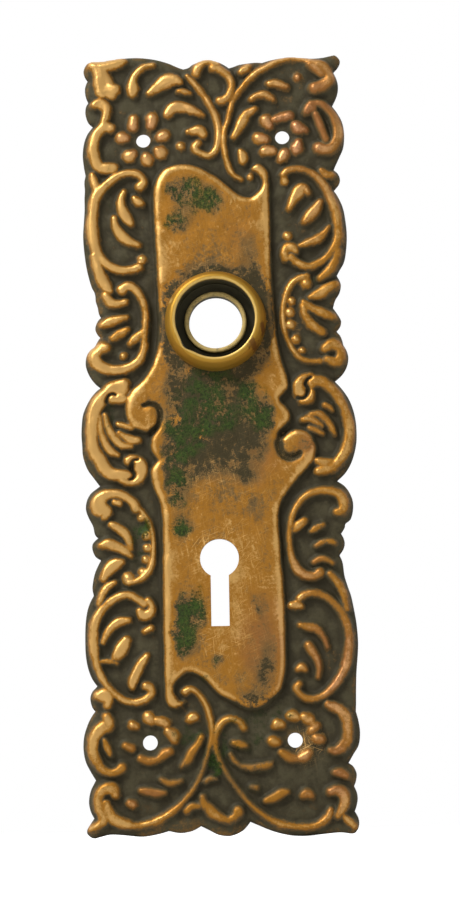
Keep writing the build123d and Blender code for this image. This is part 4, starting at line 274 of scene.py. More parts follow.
# Leaves and buds: x, z and half the width of the crest along each line.
LEAVES: list[Plan] = [
    [(-14.3, 64.9, 0.3), (-16.3, 64.5, 0.4), (-18.2, 63, 0.5), (-19.3, 61, 0.7), (-19.3, 59, 1.2),
     (-19.4, 57.8, 0.9)],
    [(-15.4, 57.6, 0.5), (-13.2, 59, 1.1), (-11, 60.7, 1.6), (-9.2, 60.8, 1), (-7.6, 60.2, 0.3)],
    [(-8.2, 57.9, 0.3), (-7, 57.8, 0.55), (-5.3, 57.3, 0.25)],
    [(-11, 52.2, 0.8), (-9.5, 53.8, 1.2), (-7.5, 54, 1.2), (-5, 53.2, 0.8), (-2.2, 51.7, 0.2)],
    [(-6.1, 47.6, 0.3), (-4.5, 47.9, 0.8), (-3.2, 48, 1), (-2.2, 47, 0.8)],
    [(7.2, 62.4, 0.5), (8.2, 63.3, 0.8), (8.8, 63.9, 0.5)],
    [(14, 59.3, 0.5), (15.8, 59.4, 0.7), (18.3, 58.4, 0.4)],
    [(9.6, 55.5, 0.3), (11, 56.4, 0.55), (12.7, 56.7, 0.65), (14, 56, 0.7), (14.8, 55.4, 0.4)],
    [(5.1, 46, 0.5), (6.2, 47.8, 0.8), (7.4, 49.8, 1.2), (8.4, 51.7, 1), (10.4, 53, 0.5)],
    [(6.8, 42.5, 0.4), (7.3, 41.2, 1), (7.3, 40, 0.8)],
    [(-29.4, 37.4, 0.4), (-29, 35.8, 0.8), (-28.4, 34, 0.8)],
    [(-21.7, 33, 0.3), (-22.5, 31, 0.6), (-22.4, 29, 0.9), (-21.4, 26.8, 1.1), (-20.2, 25, 0.6)],
    [(-24.2, 26.4, 0.4), (-23.8, 24.3, 0.7), (-22.5, 22.2, 1), (-20.8, 20.6, 0.9), (-18.4, 19.6, 0.4)],
    [(-19.2, 31.3, 0.4), (-18.4, 30.4, 0.8), (-17.4, 29.9, 0.4)],
    [(26.2, 37.2, 0.4), (27.5, 36.1, 0.8), (28.7, 36.1, 0.5)],
    [(18.2, 27.7, 0.3), (19.3, 29.8, 0.8), (20.6, 31.8, 1.4), (21.7, 32.9, 1), (23, 31.5, 0.4)],
    [(22, 24.5, 0.5), (23.3, 25.9, 1.1), (24.7, 27.5, 1), (25.8, 29.3, 0.4)],
    [(20.6, 18.4, 0.25), (22.8, 19.2, 0.6), (25, 20, 0.9), (26.5, 21.3, 0.6), (27.8, 23.1, 0.2)],
    [(-26.5, 7.2, 0.6), (-25, 5.4, 0.9), (-23.3, 5.1, 0.7), (-21.5, 5.6, 0.4)],
    [(-27.3, 0, 0.5), (-25.6, 0.7, 0.95), (-23.5, 1.2, 0.8), (-21.4, 1.8, 0.35)],
    [(-24.9, -3.4, 0.5), (-23.3, -2.4, 0.9), (-21.3, -1.3, 0.5)],
    [(-20.5, -4.7, 0.5), (-19.2, -3.4, 0.9), (-17.6, -1.9, 0.4)],
    [(22.8, 5.7, 0.3), (25, 6.5, 1.1), (27, 7.8, 1.1), (29.2, 9, 0.5)],
    [(21.2, 4.5, 0.5), (23.3, 3, 0.8), (25.7, 1.8, 1), (28.2, 0.8, 0.7)],
    [(21, 3.6, 0.5), (21.6, 1.4, 0.7), (23, -0.9, 0.9), (25.6, -3, 0.8)],
    [(-28, -22.5, 0.3), (-27.9, -25.5, 0.5), (-27, -28.5, 0.7), (-25.6, -30.7, 0.8),
     (-23.8, -31.8, 0.3)],
    [(-26.8, -22, 0.3), (-26.1, -25, 0.6), (-24.5, -27.8, 0.8), (-22.8, -29.4, 0.7),
     (-20.6, -29.8, 0.3)],
    [(-23.4, -26.4, 0.3), (-22, -27.4, 0.7), (-20.4, -28.2, 0.9), (-19, -28.2, 0.5)],
    [(-23.7, -24.3, 0.3), (-22.2, -24.8, 0.5), (-20.4, -25.4, 0.3)],
    [(25.8, -20.7, 0.3), (26.8, -21.2, 0.4), (27.5, -22, 0.2)],
    [(22.4, -22.9, 0.3), (24.4, -22.9, 0.6), (26, -24.3, 0.6), (27.2, -26.2, 0.5), (27.9, -27.8, 0.2)],
    [(20.4, -24.2, 0.4), (22, -24, 0.6), (23.6, -24.8, 0.5), (25, -25.8, 0.2)],
    [(22, -26.2, 0.4), (23.2, -26.7, 0.55), (25, -27.6, 0.25)],
    [(-24.8, -43.1, 0.5), (-23.6, -43.4, 0.5)],
    [(-25.7, -48.4, 0.4), (-24, -49.2, 0.85), (-22.4, -50.6, 0.95), (-21.3, -52.6, 0.7),
     (-20.9, -54.4, 0.3)],
    [(-28.2, -53.4, 0.4), (-26.2, -53, 1.1), (-24, -53.8, 1.1), (-22.2, -55, 0.8), (-21, -56, 0.3)],
    [(-23, -57.3, 0.4), (-24.8, -57.9, 1.2), (-26.4, -59.4, 1.2), (-27.4, -61.2, 0.6)],
    [(-24.8, -62.2, 0.3), (-26.4, -63.2, 0.6), (-27.8, -65, 0.7), (-28.6, -67.2, 0.5)],
    [(-21.6, -71.2, 0.4), (-23.4, -71.4, 0.8), (-25.2, -72.4, 0.85), (-26.8, -74.2, 0.7),
     (-27.8, -76.4, 0.3)],
    [(-22.3, -76, 0.9), (-23.3, -77.6, 1.35), (-24.3, -79.2, 1.2), (-25.2, -80, 0.5)],
    [(-17.4, -79.6, 0.3), (-18.8, -81.4, 0.8), (-19.8, -83.4, 0.95), (-20.8, -85.6, 0.85),
     (-21, -87, 0.4)],
    [(-28.2, -80.8, 0.2), (-26.4, -80.8, 0.4), (-24.6, -81.3, 0.2)],
    [(-18, -74, 0.2), (-16.4, -73.2, 0.4)],
    [(17.8, -50.8, 0.3), (18.8, -49.6, 0.9), (20.2, -48.6, 0.8)],
    [(21.8, -51, 0.4), (23, -50.3, 0.7), (24.6, -49.5, 0.4)],
    [(22.8, -54.5, 0.3), (24.6, -53.6, 0.55), (26.4, -53.6, 0.5), (27.4, -53.9, 0.3)],
    [(22.2, -58.4, 0.3), (23.8, -57.6, 0.55), (25.4, -57.8, 0.45), (26.6, -58.6, 0.25)],
    [(16.8, -68.5, 0.6), (17.9, -68.4, 0.9), (18.9, -68.6, 0.5)],
    [(18.7, -73.2, 0.4), (20.6, -73.6, 0.8), (22.4, -74, 0.85), (23.4, -75, 0.6), (24.4, -76.6, 0.3),
     (25, -78.4, 0.15)],
    [(20.6, -78, 0.8), (21.4, -79.4, 0.85), (22.4, -81.2, 0.6), (22.9, -83.2, 0.35),
     (22.6, -85.4, 0.2)],
    [(17.9, -83.5, 0.4), (18.8, -83, 0.75), (19.6, -83.6, 0.4)],
    [(-27.6, -99.2, 0.3), (-27, -100.8, 0.6), (-26.2, -102.6, 0.4)],
    [(-7.8, -94.9, 0.4), (-6.9, -94.2, 0.8), (-6.2, -94.2, 0.4)],
    [(-4.9, -98.9, 0.4), (-5.8, -100.6, 0.5), (-7.2, -102.4, 0.8), (-8.2, -104.2, 0.8),
     (-9.6, -105.6, 0.25)],
    [(-14.4, -108.6, 0.3), (-12.6, -109.4, 0.65), (-10.8, -109.2, 0.4), (-9.8, -108.9, 0.2)],
    [(-19.2, -111, 0.3), (-17.2, -111.3, 0.8), (-15.4, -111.6, 0.8), (-13.6, -111.6, 0.3)],
    [(-21.9, -113.8, 0.5), (-21.1, -114.2, 0.7)],
    [(-4.2, -109.2, 0.3), (-3, -108.5, 0.45), (-1.8, -108.6, 0.3)],
    [(-8.6, -115.8, 0.4), (-7.4, -114.8, 0.6), (-5.8, -114.8, 0.4)],
    [(2.6, -100.4, 0.4), (4, -100.7, 0.8), (5.4, -101.1, 0.4)],
    [(4.4, -105.8, 0.4), (6.4, -106.2, 0.7), (8.6, -106, 0.75), (10.6, -105.6, 0.6),
     (11.4, -105.2, 0.2)],
    [(9.8, -113.8, 0.4), (11.6, -113.2, 0.9), (13.4, -112.2, 0.9), (14.8, -111.9, 0.4)],
    [(18.4, -112.8, 0.5), (19.4, -112.3, 0.9), (20.4, -112.8, 0.5)],
    [(26, -107.6, 0.5), (27.4, -107.7, 0.8), (28.6, -108.4, 0.4)],
    [(-25.4, -16.4, 1), (-23.8, -16, 1.7), (-22.7, -15.9, 1.5)],
    [(-24.6, -17.7, 0.8), (-22.9, -17.7, 0.9)],
    [(-18.7, -33.8, 0.9), (-18.9, -35.6, 1.2), (-19.6, -37.4, 1.2)],
    [(-21.5, -33, 0.6), (-20.7, -32.6, 0.7)],
    [(19.7, -17.4, 1), (20.1, -15.8, 1.1), (21, -14.4, 1)],
    [(22.3, -17.8, 0.7), (22.2, -18.9, 0.5)],
    [(1.8, -103, 0.2), (2.6, -104.4, 0.4), (3.6, -105.4, 0.3)],
    [(6.6, -110.6, 0.3), (7.6, -110.8, 0.5)],
    [(28, -117.9, 0.3), (29.4, -119.2, 0.5), (30.2, -120, 0.4)],
    [(-27.2, 63.6, 1.2), (-26.2, 61, 1.7), (-25.4, 58.8, 1.7), (-24.6, 57.6, 1)],
    [(-29.2, 65.2, 0.8), (-26.5, 64.8, 1.2), (-23.5, 65.3, 1), (-21.4, 66, 0.4)],
    [(-15, 57.9, 0.5), (-13.2, 59.2, 1.1), (-11.2, 60.5, 1.7), (-9.4, 60.9, 1.3), (-8, 60.5, 0.6)],
]

# Petals of the four flowers: x, z and half the width of the crest along each line.
PETALS: list[Plan] = [
    [(-19.3, 51.5, 0.6), (-18.9, 48.8, 0.8)],
    [(-14.7, 51.2, 1.1), (-15.4, 48.9, 0.6)],
    [(-13.4, 46.5, 0.6), (-11.8, 47, 0.9), (-9.6, 47, 0.3)],
    [(-14.5, 44, 0.3), (-12.7, 42.7, 1.1)],
    [(-16.3, 42, 0.5), (-16, 41, 1), (-15.6, 39.6, 0.5)],
    [(-19.2, 42.8, 0.5), (-20.4, 41.9, 1.1)],
    [(-20.6, 46.4, 0.5), (-22.2, 46.6, 1)],
    [(12.9, 50.4, 1), (14.2, 48.5, 0.6)],
    [(15.4, 50.3, 0.4), (17.2, 50.9, 0.7), (18.9, 51.2, 0.7)],
    [(19.6, 47.9, 0.9), (21, 48, 1), (23.4, 47.7, 0.3)],
    [(9.8, 46, 0.6), (11.2, 45.7, 1.1), (12.7, 45.3, 0.6)],
    [(11.8, 41.8, 0.5), (13.3, 42.5, 0.9), (14.8, 42.3, 0.4)],
    [(17.4, 42, 0.8), (16.9, 40.8, 0.8), (16.4, 39.4, 0.3)],
    [(20.8, 44.4, 0.5), (20.5, 43, 1.1)],
    [(-17, -93.2, 0.6), (-17.2, -94.2, 1.1), (-16.6, -95, 0.6)],
    [(-15.4, -94.9, 0.5), (-14, -95.2, 0.8), (-12.6, -95.1, 0.5)],
    [(-12.6, -97.4, 0.6), (-11.6, -98.3, 1), (-10, -99.6, 0.3)],
    [(-19, -103.3, 0.4), (-17.4, -103.5, 0.5), (-15.6, -103.1, 0.4), (-13.6, -102.5, 0.7),
     (-12.4, -102.1, 0.4)],
    [(-22, -94.9, 0.5), (-21, -95.8, 0.5), (-20, -96.1, 0.3)],
    [(-23, -100.6, 0.3), (-21.2, -101.2, 0.5)],
    [(15.6, -94, 0.4), (16.4, -94.1, 0.8), (17.4, -94.6, 0.5)],
    [(19.2, -94.6, 0.6), (20.2, -95.1, 1), (21.2, -95.6, 0.5)],
    [(21.8, -99.6, 0.6), (22.8, -99.9, 0.8), (24, -100.4, 0.3)],
    [(18, -103.6, 0.5), (18.8, -103.1, 0.8), (19.7, -102.6, 0.4)],
    [(14.6, -102, 0.3), (15.8, -102.9, 0.7), (17, -103, 0.3)],
    [(10.2, -100.2, 0.3), (11.8, -100.2, 0.8), (13.4, -100.4, 0.4)],
    [(12, -96.2, 0.4), (12.9, -96, 0.7), (13.8, -96.2, 0.4)],
    [(22.4, -95.8, 0.4), (21.8, -96.8, 0.6), (20.6, -98, 0.3)],
]

# Round beads: x, z and half the width of the crest along each line.
BEADS: list[Plan] = [
    [(-7.8, 44.1, 0.9)],
    [(9, 36, 0.7)],
    [(21, 60.9, 0.7)],
    [(-17.5, 16, 0.95)],
    [(17.3, 34.8, 1)],
    [(17.8, 21, 1)],
    [(-22.2, -7.7, 0.9)],
    [(22, 9.2, 1.4)],
    [(18.3, 4.9, 0.85)],
    [(17.8, 2.2, 1.05)],
    [(18, -0.8, 1)],
    [(19.2, -4.5, 1.05)],
    [(20.6, -7.2, 0.7)],
    [(-18.5, -46.9, 0.8)],
    [(-17.2, -51.3, 1)],
    [(-17.1, -54.1, 0.9)],
    [(-17.5, -56.9, 0.8)],
    [(-18.3, -59.8, 0.8)],
    [(-21.7, -61.3, 1.4)],
]


class Ornament(Enum):
    """Kinds of ornament: rise, spread of the foot past the crest, and rounded share of the crest."""

    BAND = (1.6, 1.1, 0.5)
    STEM = (1.3, 0.9, 0.9)
    LEAF = (1.4, 0.95, 0.5)
    PETAL = (1.45, 0.8, 0.85)
    BEAD = (1.2, 0.6, 1.0)

    @property
    def rise(self) -> float:
        """Height of the crest above the ground."""
        return self.value[0]

    @property
    def spread(self) -> float:
        """Width of the foot outside the rubbed crest."""
        return self.value[1]

    @property
    def rounded(self) -> float:
        """Share of the crest's half width over which the side still rounds up."""
        return self.value[2]


# Middles of the four screw holes.
SCREWS: Plan = [(x, z) for x in (-16.95, 16.95) for z in (45.97, -99.96)]


def broadened(line: Plan, extra: float) -> Plan:
    """A stroke with a wider crest.

    Args:
        line: Rows of x, z and half width.
        extra: What to add to the half width.

    Returns:
        The wider stroke.
    """
    return [(x, z, half + extra) for x, z, half in line]


def petal(line: Plan, near: float = 4.3, far: float = 5.8, extra: float = 0.4) -> Plan:
    """A short, round petal: its points kept in a ring round its screw hole, and its crest wider.

    Args:
        line: Rows of x, z and half width.
        near: Least distance from the middle of the hole.
        far: Greatest distance from it.
        extra: What to add to the half width.

    Returns:
        The stroke of the petal.
    """
    middle = min(SCREWS, key=lambda screw: math.dist(screw, line[0][:2]))
    moved = []
    for x, z, half in line:
        away = math.dist(middle, (x, z))
        share = min(max(away, near), far) / away
        moved.append((middle[0] + (x - middle[0]) * share, middle[1] + (z - middle[1]) * share, half))
    return broadened(moved, extra)


GROUPS: dict[Ornament, list[Plan]] = {
    Ornament.BAND: [broadened(line, 0.12) for line in BANDS],
    Ornament.STEM: STEMS,
    Ornament.LEAF: LEAVES,
    Ornament.PETAL: [petal(line) for line in PETALS],
    Ornament.BEAD: BEADS,
}


def smooth_path(points: Plan, step: float) -> np.ndarray:
    """Points along a smooth curve through the given ones.

    Each span is a cubic whose slope at a point is half the way from the one before to the one after.

    Args:
        points: Points of the drawing, with any further columns carried along.
        step: Distance between the points of the curve, in millimetres.

    Returns:
        The curve as rows of the same columns.
    """
    p = np.asarray(points, float)
    if len(p) == 1:
        return p
    ends = np.vstack([2 * p[0] - p[1], p, 2 * p[-1] - p[-2]])
    a, b, c, d = ends[:-3], ends[1:-2], ends[2:-1], ends[3:]
    count = np.maximum(2, np.ceil(np.hypot(*(c - b)[:, :2].T) / step)).astype(int)
    span = np.repeat(np.arange(len(b)), count)
    t = (np.arange(len(span)) - np.repeat(np.cumsum(count) - count, count)) / count[span]
    t = t[:, None]
    curve = 0.5 * (
        2 * b[span]
        + (c - a)[span] * t
        + (2 * a - 5 * b + 4 * c - d)[span] * t**2
        + (3 * b - a - 3 * c + d)[span] * t**3
    )
    return np.vstack([curve, p[-1]])


def closed_path(runs: list[Plan], step: float, inset: float = 0.0) -> np.ndarray:
    """A closed outline with smooth runs that meet at corners, moved inwards if asked.

    A point moves along the mean of the normals of its two sides, by no more than a share of its bend's
    radius; a corner moves along the mitre of its two normals.

    Args:
        runs: Clockwise runs, each up to the corner that starts the next.
        step: Distance between the points, in millimetres.
        inset: Distance inwards, in millimetres.

    Returns:
        The outline as rows of x and z.
    """
    p = np.asarray([q[:2] for run in runs for q in run], float)
    before, after = np.roll(p, 1, 0), np.roll(p, -1, 0)
    t1, t2 = p - before, after - p
    l1, l2, chord = (np.hypot(*v.T) for v in (t1, t2, after - before))
    n1 = np.stack([t1[:, 1], -t1[:, 0]], 1) / l1[:, None]
    n2 = np.stack([t2[:, 1], -t2[:, 0]], 1) / l2[:, None]
    bend = t1[:, 0] * t2[:, 1] - t1[:, 1] * t2[:, 0]
    radius = l1 * l2 * chord / np.maximum(2 * np.abs(bend), 1e-6)
    reach = np.where(bend < 0, np.minimum(inset, 0.7 * radius), inset)[:, None]
    flat = (n1 + n2) / np.maximum(np.hypot(*(n1 + n2).T), 1e-6)[:, None]
    moved = p + reach * flat
    starts = np.cumsum([0] + [len(run) for run in runs[:-1]])
    mitre = (n1 + n2) / np.maximum(1 + (n1 * n2).sum(1), 0.5)[:, None]
    moved[starts] = (p + inset * mitre)[starts]
    ring = np.vstack([moved, moved[:1]])
    still = np.vstack([p, p[:1]])
    pieces = []
    for start, run in zip(starts, runs):
        span = slice(start, start + len(run) + 1)
        count = len(smooth_path(still[span], step)) - 1
        fine = smooth_path(ring[span], step / 8)
        way = np.concatenate([[0], np.cumsum(np.hypot(*np.diff(fine, axis=0).T))])
        at = np.linspace(0, way[-1], count + 1)[:-1]
        pieces.append(np.stack([np.interp(at, way, fine[:, k]) for k in (0, 1)], 1))
    return np.vstack(pieces)


def ring_path(x: float, z: float, radius: float, count: int) -> np.ndarray:
    """Points round a circle, clockwise.

    Args:
        x: Centre across.
        z: Centre up.
        radius: Radius in millimetres.
        count: Number of points.

    Returns:
        Rows of x and z.
    """
    turn = -np.linspace(0, 2 * np.pi, count, endpoint=False)
    return np.stack([x + radius * np.cos(turn), z + radius * np.sin(turn)], 1)


def inside(loop: np.ndarray, points: np.ndarray) -> np.ndarray:
    """Which points lie in a closed outline: those with an odd count of edges to their right.

    Args:
        loop: The outline.
        points: Rows of x and z.

    Returns:
        One truth value for each point.
    """
    a, b = loop, np.roll(loop, -1, 0)
    x, z = points[:, :1], points[:, 1:]
    over = (a[:, 1] > z) != (b[:, 1] > z)
    slope = (b[:, 0] - a[:, 0]) / np.where(a[:, 1] == b[:, 1], 1.0, b[:, 1] - a[:, 1])
    return (over & (x < a[:, 0] + (z - a[:, 1]) * slope)).sum(1) % 2 == 1


def ease(value: np.ndarray, low: float, high: float) -> np.ndarray:
    """A smooth step from 0 at low to 1 at high.

    Args:
        value: Values to map.
        low: Where the step starts.
        high: Where it ends.

    Returns:
        The eased values.
    """
    t = np.clip((value - low) / (high - low), 0, 1)
    return t * t * (3 - 2 * t)


def bell(value: np.ndarray, width: float) -> np.ndarray:
    """A bell-shaped weight: the exponential of minus the square of value over width.

    Args:
        value: Distances from the middle of the bell.
        width: Distance at which the weight has fallen to about a third.

    Returns:
        1 in the middle, falling to 0.
    """
    return np.exp(-((value / width) ** 2))


def ripple(x: np.ndarray, z: np.ndarray, length: float, phase: float) -> np.ndarray:
    """An uneven field: the mean of sine waves that run in spread-out directions.

    Args:
        x: Places across.
        z: Places up.
        length: Typical wavelength in millimetres.
        phase: A number that makes one field differ from the next.

    Returns:
        Values from about -1 to 1.
    """
    k = np.arange(7)
    turn, pace = 2.4 * k + phase, 2 * np.pi / (length * (0.6 + 0.17 * k))
    wave = np.sin(
        pace * (x[..., None] * np.cos(turn) + z[..., None] * np.sin(turn)) + 5.1 * k * phase
    )
    return wave.mean(-1) * 1.8


@dataclass(frozen=True)
class Raster:
    """A fine square grid over the plate that carries fields."""

    left: float = -34.0
    low: float = -123.5
    step: float = 0.2
    columns: int = 341
    rows: int = 962

    def places(self) -> tuple[np.ndarray, np.ndarray]:
        """Where the grid's points are.

        Returns:
            Arrays of x and z.
        """
        x = self.left + self.step * np.arange(self.columns)
        z = self.low + self.step * np.arange(self.rows)
        return tuple(np.meshgrid(x, z))

    def window(self, path: np.ndarray, margin: float) -> tuple[slice, slice]:
        """The part of the grid round a path.

        Args:
            path: Rows of x and z.
            margin: How far past the path to go.

        Returns:
            Slices of rows and columns.
        """
        low = np.floor((path[:, :2].min(0) - margin - (self.left, self.low)) / self.step).astype(int)
        high = np.ceil((path[:, :2].max(0) + margin - (self.left, self.low)) / self.step).astype(int)
        low = np.maximum(low, 0)
        return slice(low[1], high[1] + 1), slice(low[0], high[0] + 1)

    def blur(self, field: np.ndarray, size: float) -> np.ndarray:
        """A field averaged with a bell-shaped weight, worked out as a product of its waves.

        Args:
            field: Values on the grid.
            size: Standard deviation of the bell in millimetres.

        Returns:
            The averaged field.
        """
        pad = int(3 * size / self.step) + 1
        wide = np.pad(field, pad, mode="edge")
        fz, fx = np.fft.fftfreq(wide.shape[0], self.step), np.fft.rfftfreq(wide.shape[1], self.step)
        kept = np.exp(-2 * (np.pi * size) ** 2 * (fz[:, None] ** 2 + fx[None, :] ** 2))
        return np.fft.irfft2(np.fft.rfft2(wide) * kept, wide.shape)[pad:-pad, pad:-pad]

    def read(self, field: np.ndarray, points: np.ndarray) -> np.ndarray:
        """Values of a field between the grid's points, by straight-line mixing.

        Args:
            field: Values on the grid.
            points: Rows of x and z.

        Returns:
            One value for each point.
        """
        u = np.clip((points[:, 0] - self.left) / self.step, 0, self.columns - 1.001)
        v = np.clip((points[:, 1] - self.low) / self.step, 0, self.rows - 1.001)
        i, j = u.astype(int), v.astype(int)
        a, b = u - i, v - j
        low = field[j, i] * (1 - a) + field[j, i + 1] * a
        high = field[j + 1, i] * (1 - a) + field[j + 1, i + 1] * a
        return low * (1 - b) + high * b

    def depth_in(self, runs: list[Plan], reach: float) -> np.ndarray:
        """Distance inside a closed outline, negative outside, up to a limit.

        Args:
            runs: The outline.
            reach: Greatest distance worked out, in millimetres.

        Returns:
            Distances on the grid.
        """
        x, z = self.places()
        loop = closed_path(runs, 0.12)
        far = np.full(x.shape, reach)
        for part in np.array_split(loop, len(loop) // 24):
            rows, columns = self.window(part, reach)
            gx, gz = x[rows, columns, None], z[rows, columns, None]
            near = np.sqrt(((gx - part[:, 0]) ** 2 + (gz - part[:, 1]) ** 2).min(-1))
            far[rows, columns] = np.minimum(far[rows, columns], near)
        a, b = loop, np.roll(loop, -1, 0)
        level = z[:, 0][:, None]
        row, edge = np.nonzero((a[:, 1] > level) != (b[:, 1] > level))
        share = (z[row, 0] - a[edge, 1]) / (b[edge, 1] - a[edge, 1])
        cross = a[edge, 0] + share * (b[edge, 0] - a[edge, 0])
        count = np.zeros(x.shape, int)
        np.add.at(count, (row, np.ceil((cross - self.left) / self.step).astype(int)), 1)
        return np.where(np.cumsum(count, 1) % 2 == 1, far, -far)


@dataclass(frozen=True)
class Patch:
    """A soft stain, rubbed place or patch of painted shade: centre, half sizes and strength."""

    x: float
    z: float
    wide: float
    tall: float
    amount: float = 1.0

    def weight(self, x: np.ndarray, z: np.ndarray) -> np.ndarray:
        """Strength of the patch at each place: the product of a bell across and a bell up."""
        u, v = (x - self.x) / self.wide, (z - self.z) / self.tall
        return self.amount * np.exp(-u * u - v * v)


# Stained and rubbed places, and some painted shade, by the value they feed: x, z, half width, half height
# and strength.
STAINS_AND_SHADE: dict[str, Plan] = {
    "dark": [
        (-6, 30, 7, 7.5, 0.3), (0, -22, 11.5, 10, 0.5), (-2, -31, 9, 8, 0.35), (4, -88, 12, 8, 0.12),
        (7, 18, 5, 5, 0.2), (-7.5, 32.5, 4.5, 4, 0.4), (0.5, 30, 3.2, 4.2, 0.35),
        # (12.6, 4) and (2, -12.4): painted shadow of the collar at its right and below it, the second with
        # grime.
        (-9, 24.5, 2.6, 4, 0.35), (12.6, 4, 0.8, 7, 0.7), (2, -12.4, 9, 1.8, 1), (-2.5, -26, 8, 9, 0.3),
        (-10, -15, 2.4, 2.6, 0.5), (-3, -19, 4.5, 6, 0.75), (6.5, -18.5, 3.4, 4, 0.75),
        (11.3, -24, 2.6, 3.6, 0.8), (3.5, -28, 6, 5.5, 0.55), (-8.8, -30.5, 3, 7, 0.75),
        (-10.2, -39, 2, 4, 0.8), (-3.5, -27, 3.2, 3.4, 0.6), (6.5, -37, 1.6, 2.2, 0.5),
        (-9, -50, 2.6, 2.6, 0.65), (-6.8, -69, 3, 4.6, 0.9), (-8.4, -76, 2.2, 4, 0.7),
        (8.6, -68.5, 2.4, 3.6, 0.5), (-1.2, -81, 2.2, 2.4, 0.45), (10.8, -77, 3.4, 9, 0.2),
        # (8, -91): painted shade, a dark line along the panel's foot.
        (9.5, -47, 3, 4, 0.25), (8, -91, 6, 1.4, 0.6), (28.5, 56, 4.5, 12, 0.32), (23, -52, 7, 9, 0.4),
        (2, -108, 28, 10, 0.4), (-22, -100, 8, 7, 0.2), (20, -88, 8, 5, 0.2), (-17, -66, 4, 3, 0.25),
        (19, -78, 5, 8, 0.22), (0, 55, 6, 9, 0.15), (27, -5, 9, 60, 0.16), (7, -82, 6, 6, 0.12),
        (21.6, -30, 2, 2.2, 0.5), (-9.5, -34, 4, 16, 0.4), (-9.5, -72, 3, 8, 0.4), (9, 16, 3.5, 6, 0.3),
        # From (-12.5, 2) to (10.6, -8.6): painted shade in a ring round the collar.
        (-12.5, 2, 1.6, 8, 0.35), (0, 12.9, 9, 1.1, 0.7), (-12.4, 1, 0.9, 8, 0.7),
        (-9.4, 9.2, 2, 2, 0.5), (10, 9.4, 2.2, 2.4, 0.7), (-10.2, -8.6, 2, 2.4, 0.8),
        (10.6, -8.6, 1.8, 2.2, 0.7), (8, -36, 6, 6, 0.25), (0, -90, 10, 4, 0.12), (11, -84, 3, 8, 0.3),
    ],
    "green": [
        (-6, 30, 6.5, 7, 0.45), (0, -20, 10, 8, 0.4), (-8, -33, 4, 9, 0.4), (-7, 33, 4.2, 3.6, 0.75),
        (0, 29.5, 3, 4, 0.6), (-9, 24, 2, 3.6, 0.5), (-3.5, -18.5, 4.4, 5.6, 0.95),
        (1.5, -23.5, 2.4, 2.6, 0.8), (11.4, -24, 2.4, 3.2, 1.1), (7, -18, 2.6, 3, 0.5),
        (-9, -31, 2.6, 6.4, 0.8), (-10, -39, 1.8, 3.8, 0.7), (-4.5, -27.5, 2.4, 2.6, 0.7),
        (-9, -50, 2.2, 2.4, 0.8), (-6.8, -68.5, 2.8, 4.4, 1.2), (-8.3, -75.5, 2, 3.6, 0.9),
        (-1.5, -81, 2, 2.2, 0.7), (-4, -85, 3, 2, 0.5), (0, -98, 20, 7, 0.5), (14, -93, 4, 2, 0.5),
        (-18.5, -51, 3.4, 7.5, 0.75), (-9.6, -34, 3.4, 15, 0.4), (-9, -72, 3, 8, 0.35),
        (9, -18, 3, 4, 0.4), (-26, -22, 1.6, 6, 0.5), (-12, 66, 9, 2, 0.5), (23, 8.5, 3, 3, 0.5),
        (-25, 30, 1.6, 12, 0.4), (24, 30, 6, 8, 0.35), (-2, -105.5, 2, 2, 0.8),
    ],
    "dull": [
        (28, 0, 11, 62, 0.6), (0, -108, 34, 15, 0.85), (24, -70, 11, 26, 0.4), (20, 54, 14, 14, 0.35),
        (-16, 46, 8, 8, 0.3), (-24, -4, 8, 9, 0.4), (0, 58, 9, 8, 0.35),
    ],
    "scuff": [
        (0, -52, 8, 3, 0.55), (6, -58, 3, 5, 0.7), (-6, -57, 2.6, 4, 0.5), (4.4, -69, 2.4, 6, 0.8),
        (-3.8, -70, 1.8, 6, 0.4), (0.5, -77.5, 5, 3.5, 0.7), (19.5, -101, 3, 3, 0.8),
        (0, -38, 9, 5, 0.3), (-2, 12.5, 9, 4, 0.25),
    ],
    "red": [
        (10, -78, 6, 14, 0.7), (8, -34, 8, 7, 0.6), (0, -33, 4, 5, 0.5), (24, 52, 9, 16, 0.75),
        (25, 25, 6, 12, 0.35), (26, -80, 7, 16, 0.8), (24, -108, 9, 12, 0.75), (-18, -100, 10, 8, 0.5),
        (-17, -113, 8, 4, 0.7), (-18, 46, 7, 7, 0.6), (17, 46, 8, 7, 0.4), (-2, 55, 20, 14, 0.3),
        (6, 20, 6, 8, 0.35), (26, -22, 7, 7, 0.3), (22, -30.5, 3, 4, 0.5), (20, -57, 5, 8, 0.5),
    ],
    "bright": [
        (-11.5, 15, 2.2, 22, 0.22), (-12, -62, 1.8, 26, 0.22), (0, -58, 8, 7, 0.3),
        (3, -70, 5, 7, 0.22), (13, -14.5, 2.4, 2.6, 0.25), (-27, 62, 5, 7, 0.2),
        (-27.5, 22, 4, 14, 0.15), (-27.5, -28, 5, 9, 0.12), (-18, -20, 4, 5, 0.15),
        (19.5, -100.5, 1.6, 3.5, 0.2), (11.8, 24, 1.6, 12, 0.2), (-3.5, -28, 1, 1, 0.5),
        (-9.6, -24, 1.4, 1.2, 0.5), (-6, -11.5, 1.5, 1, 0.3), (13.5, -60, 1.4, 20, 0.15),
    ],
}


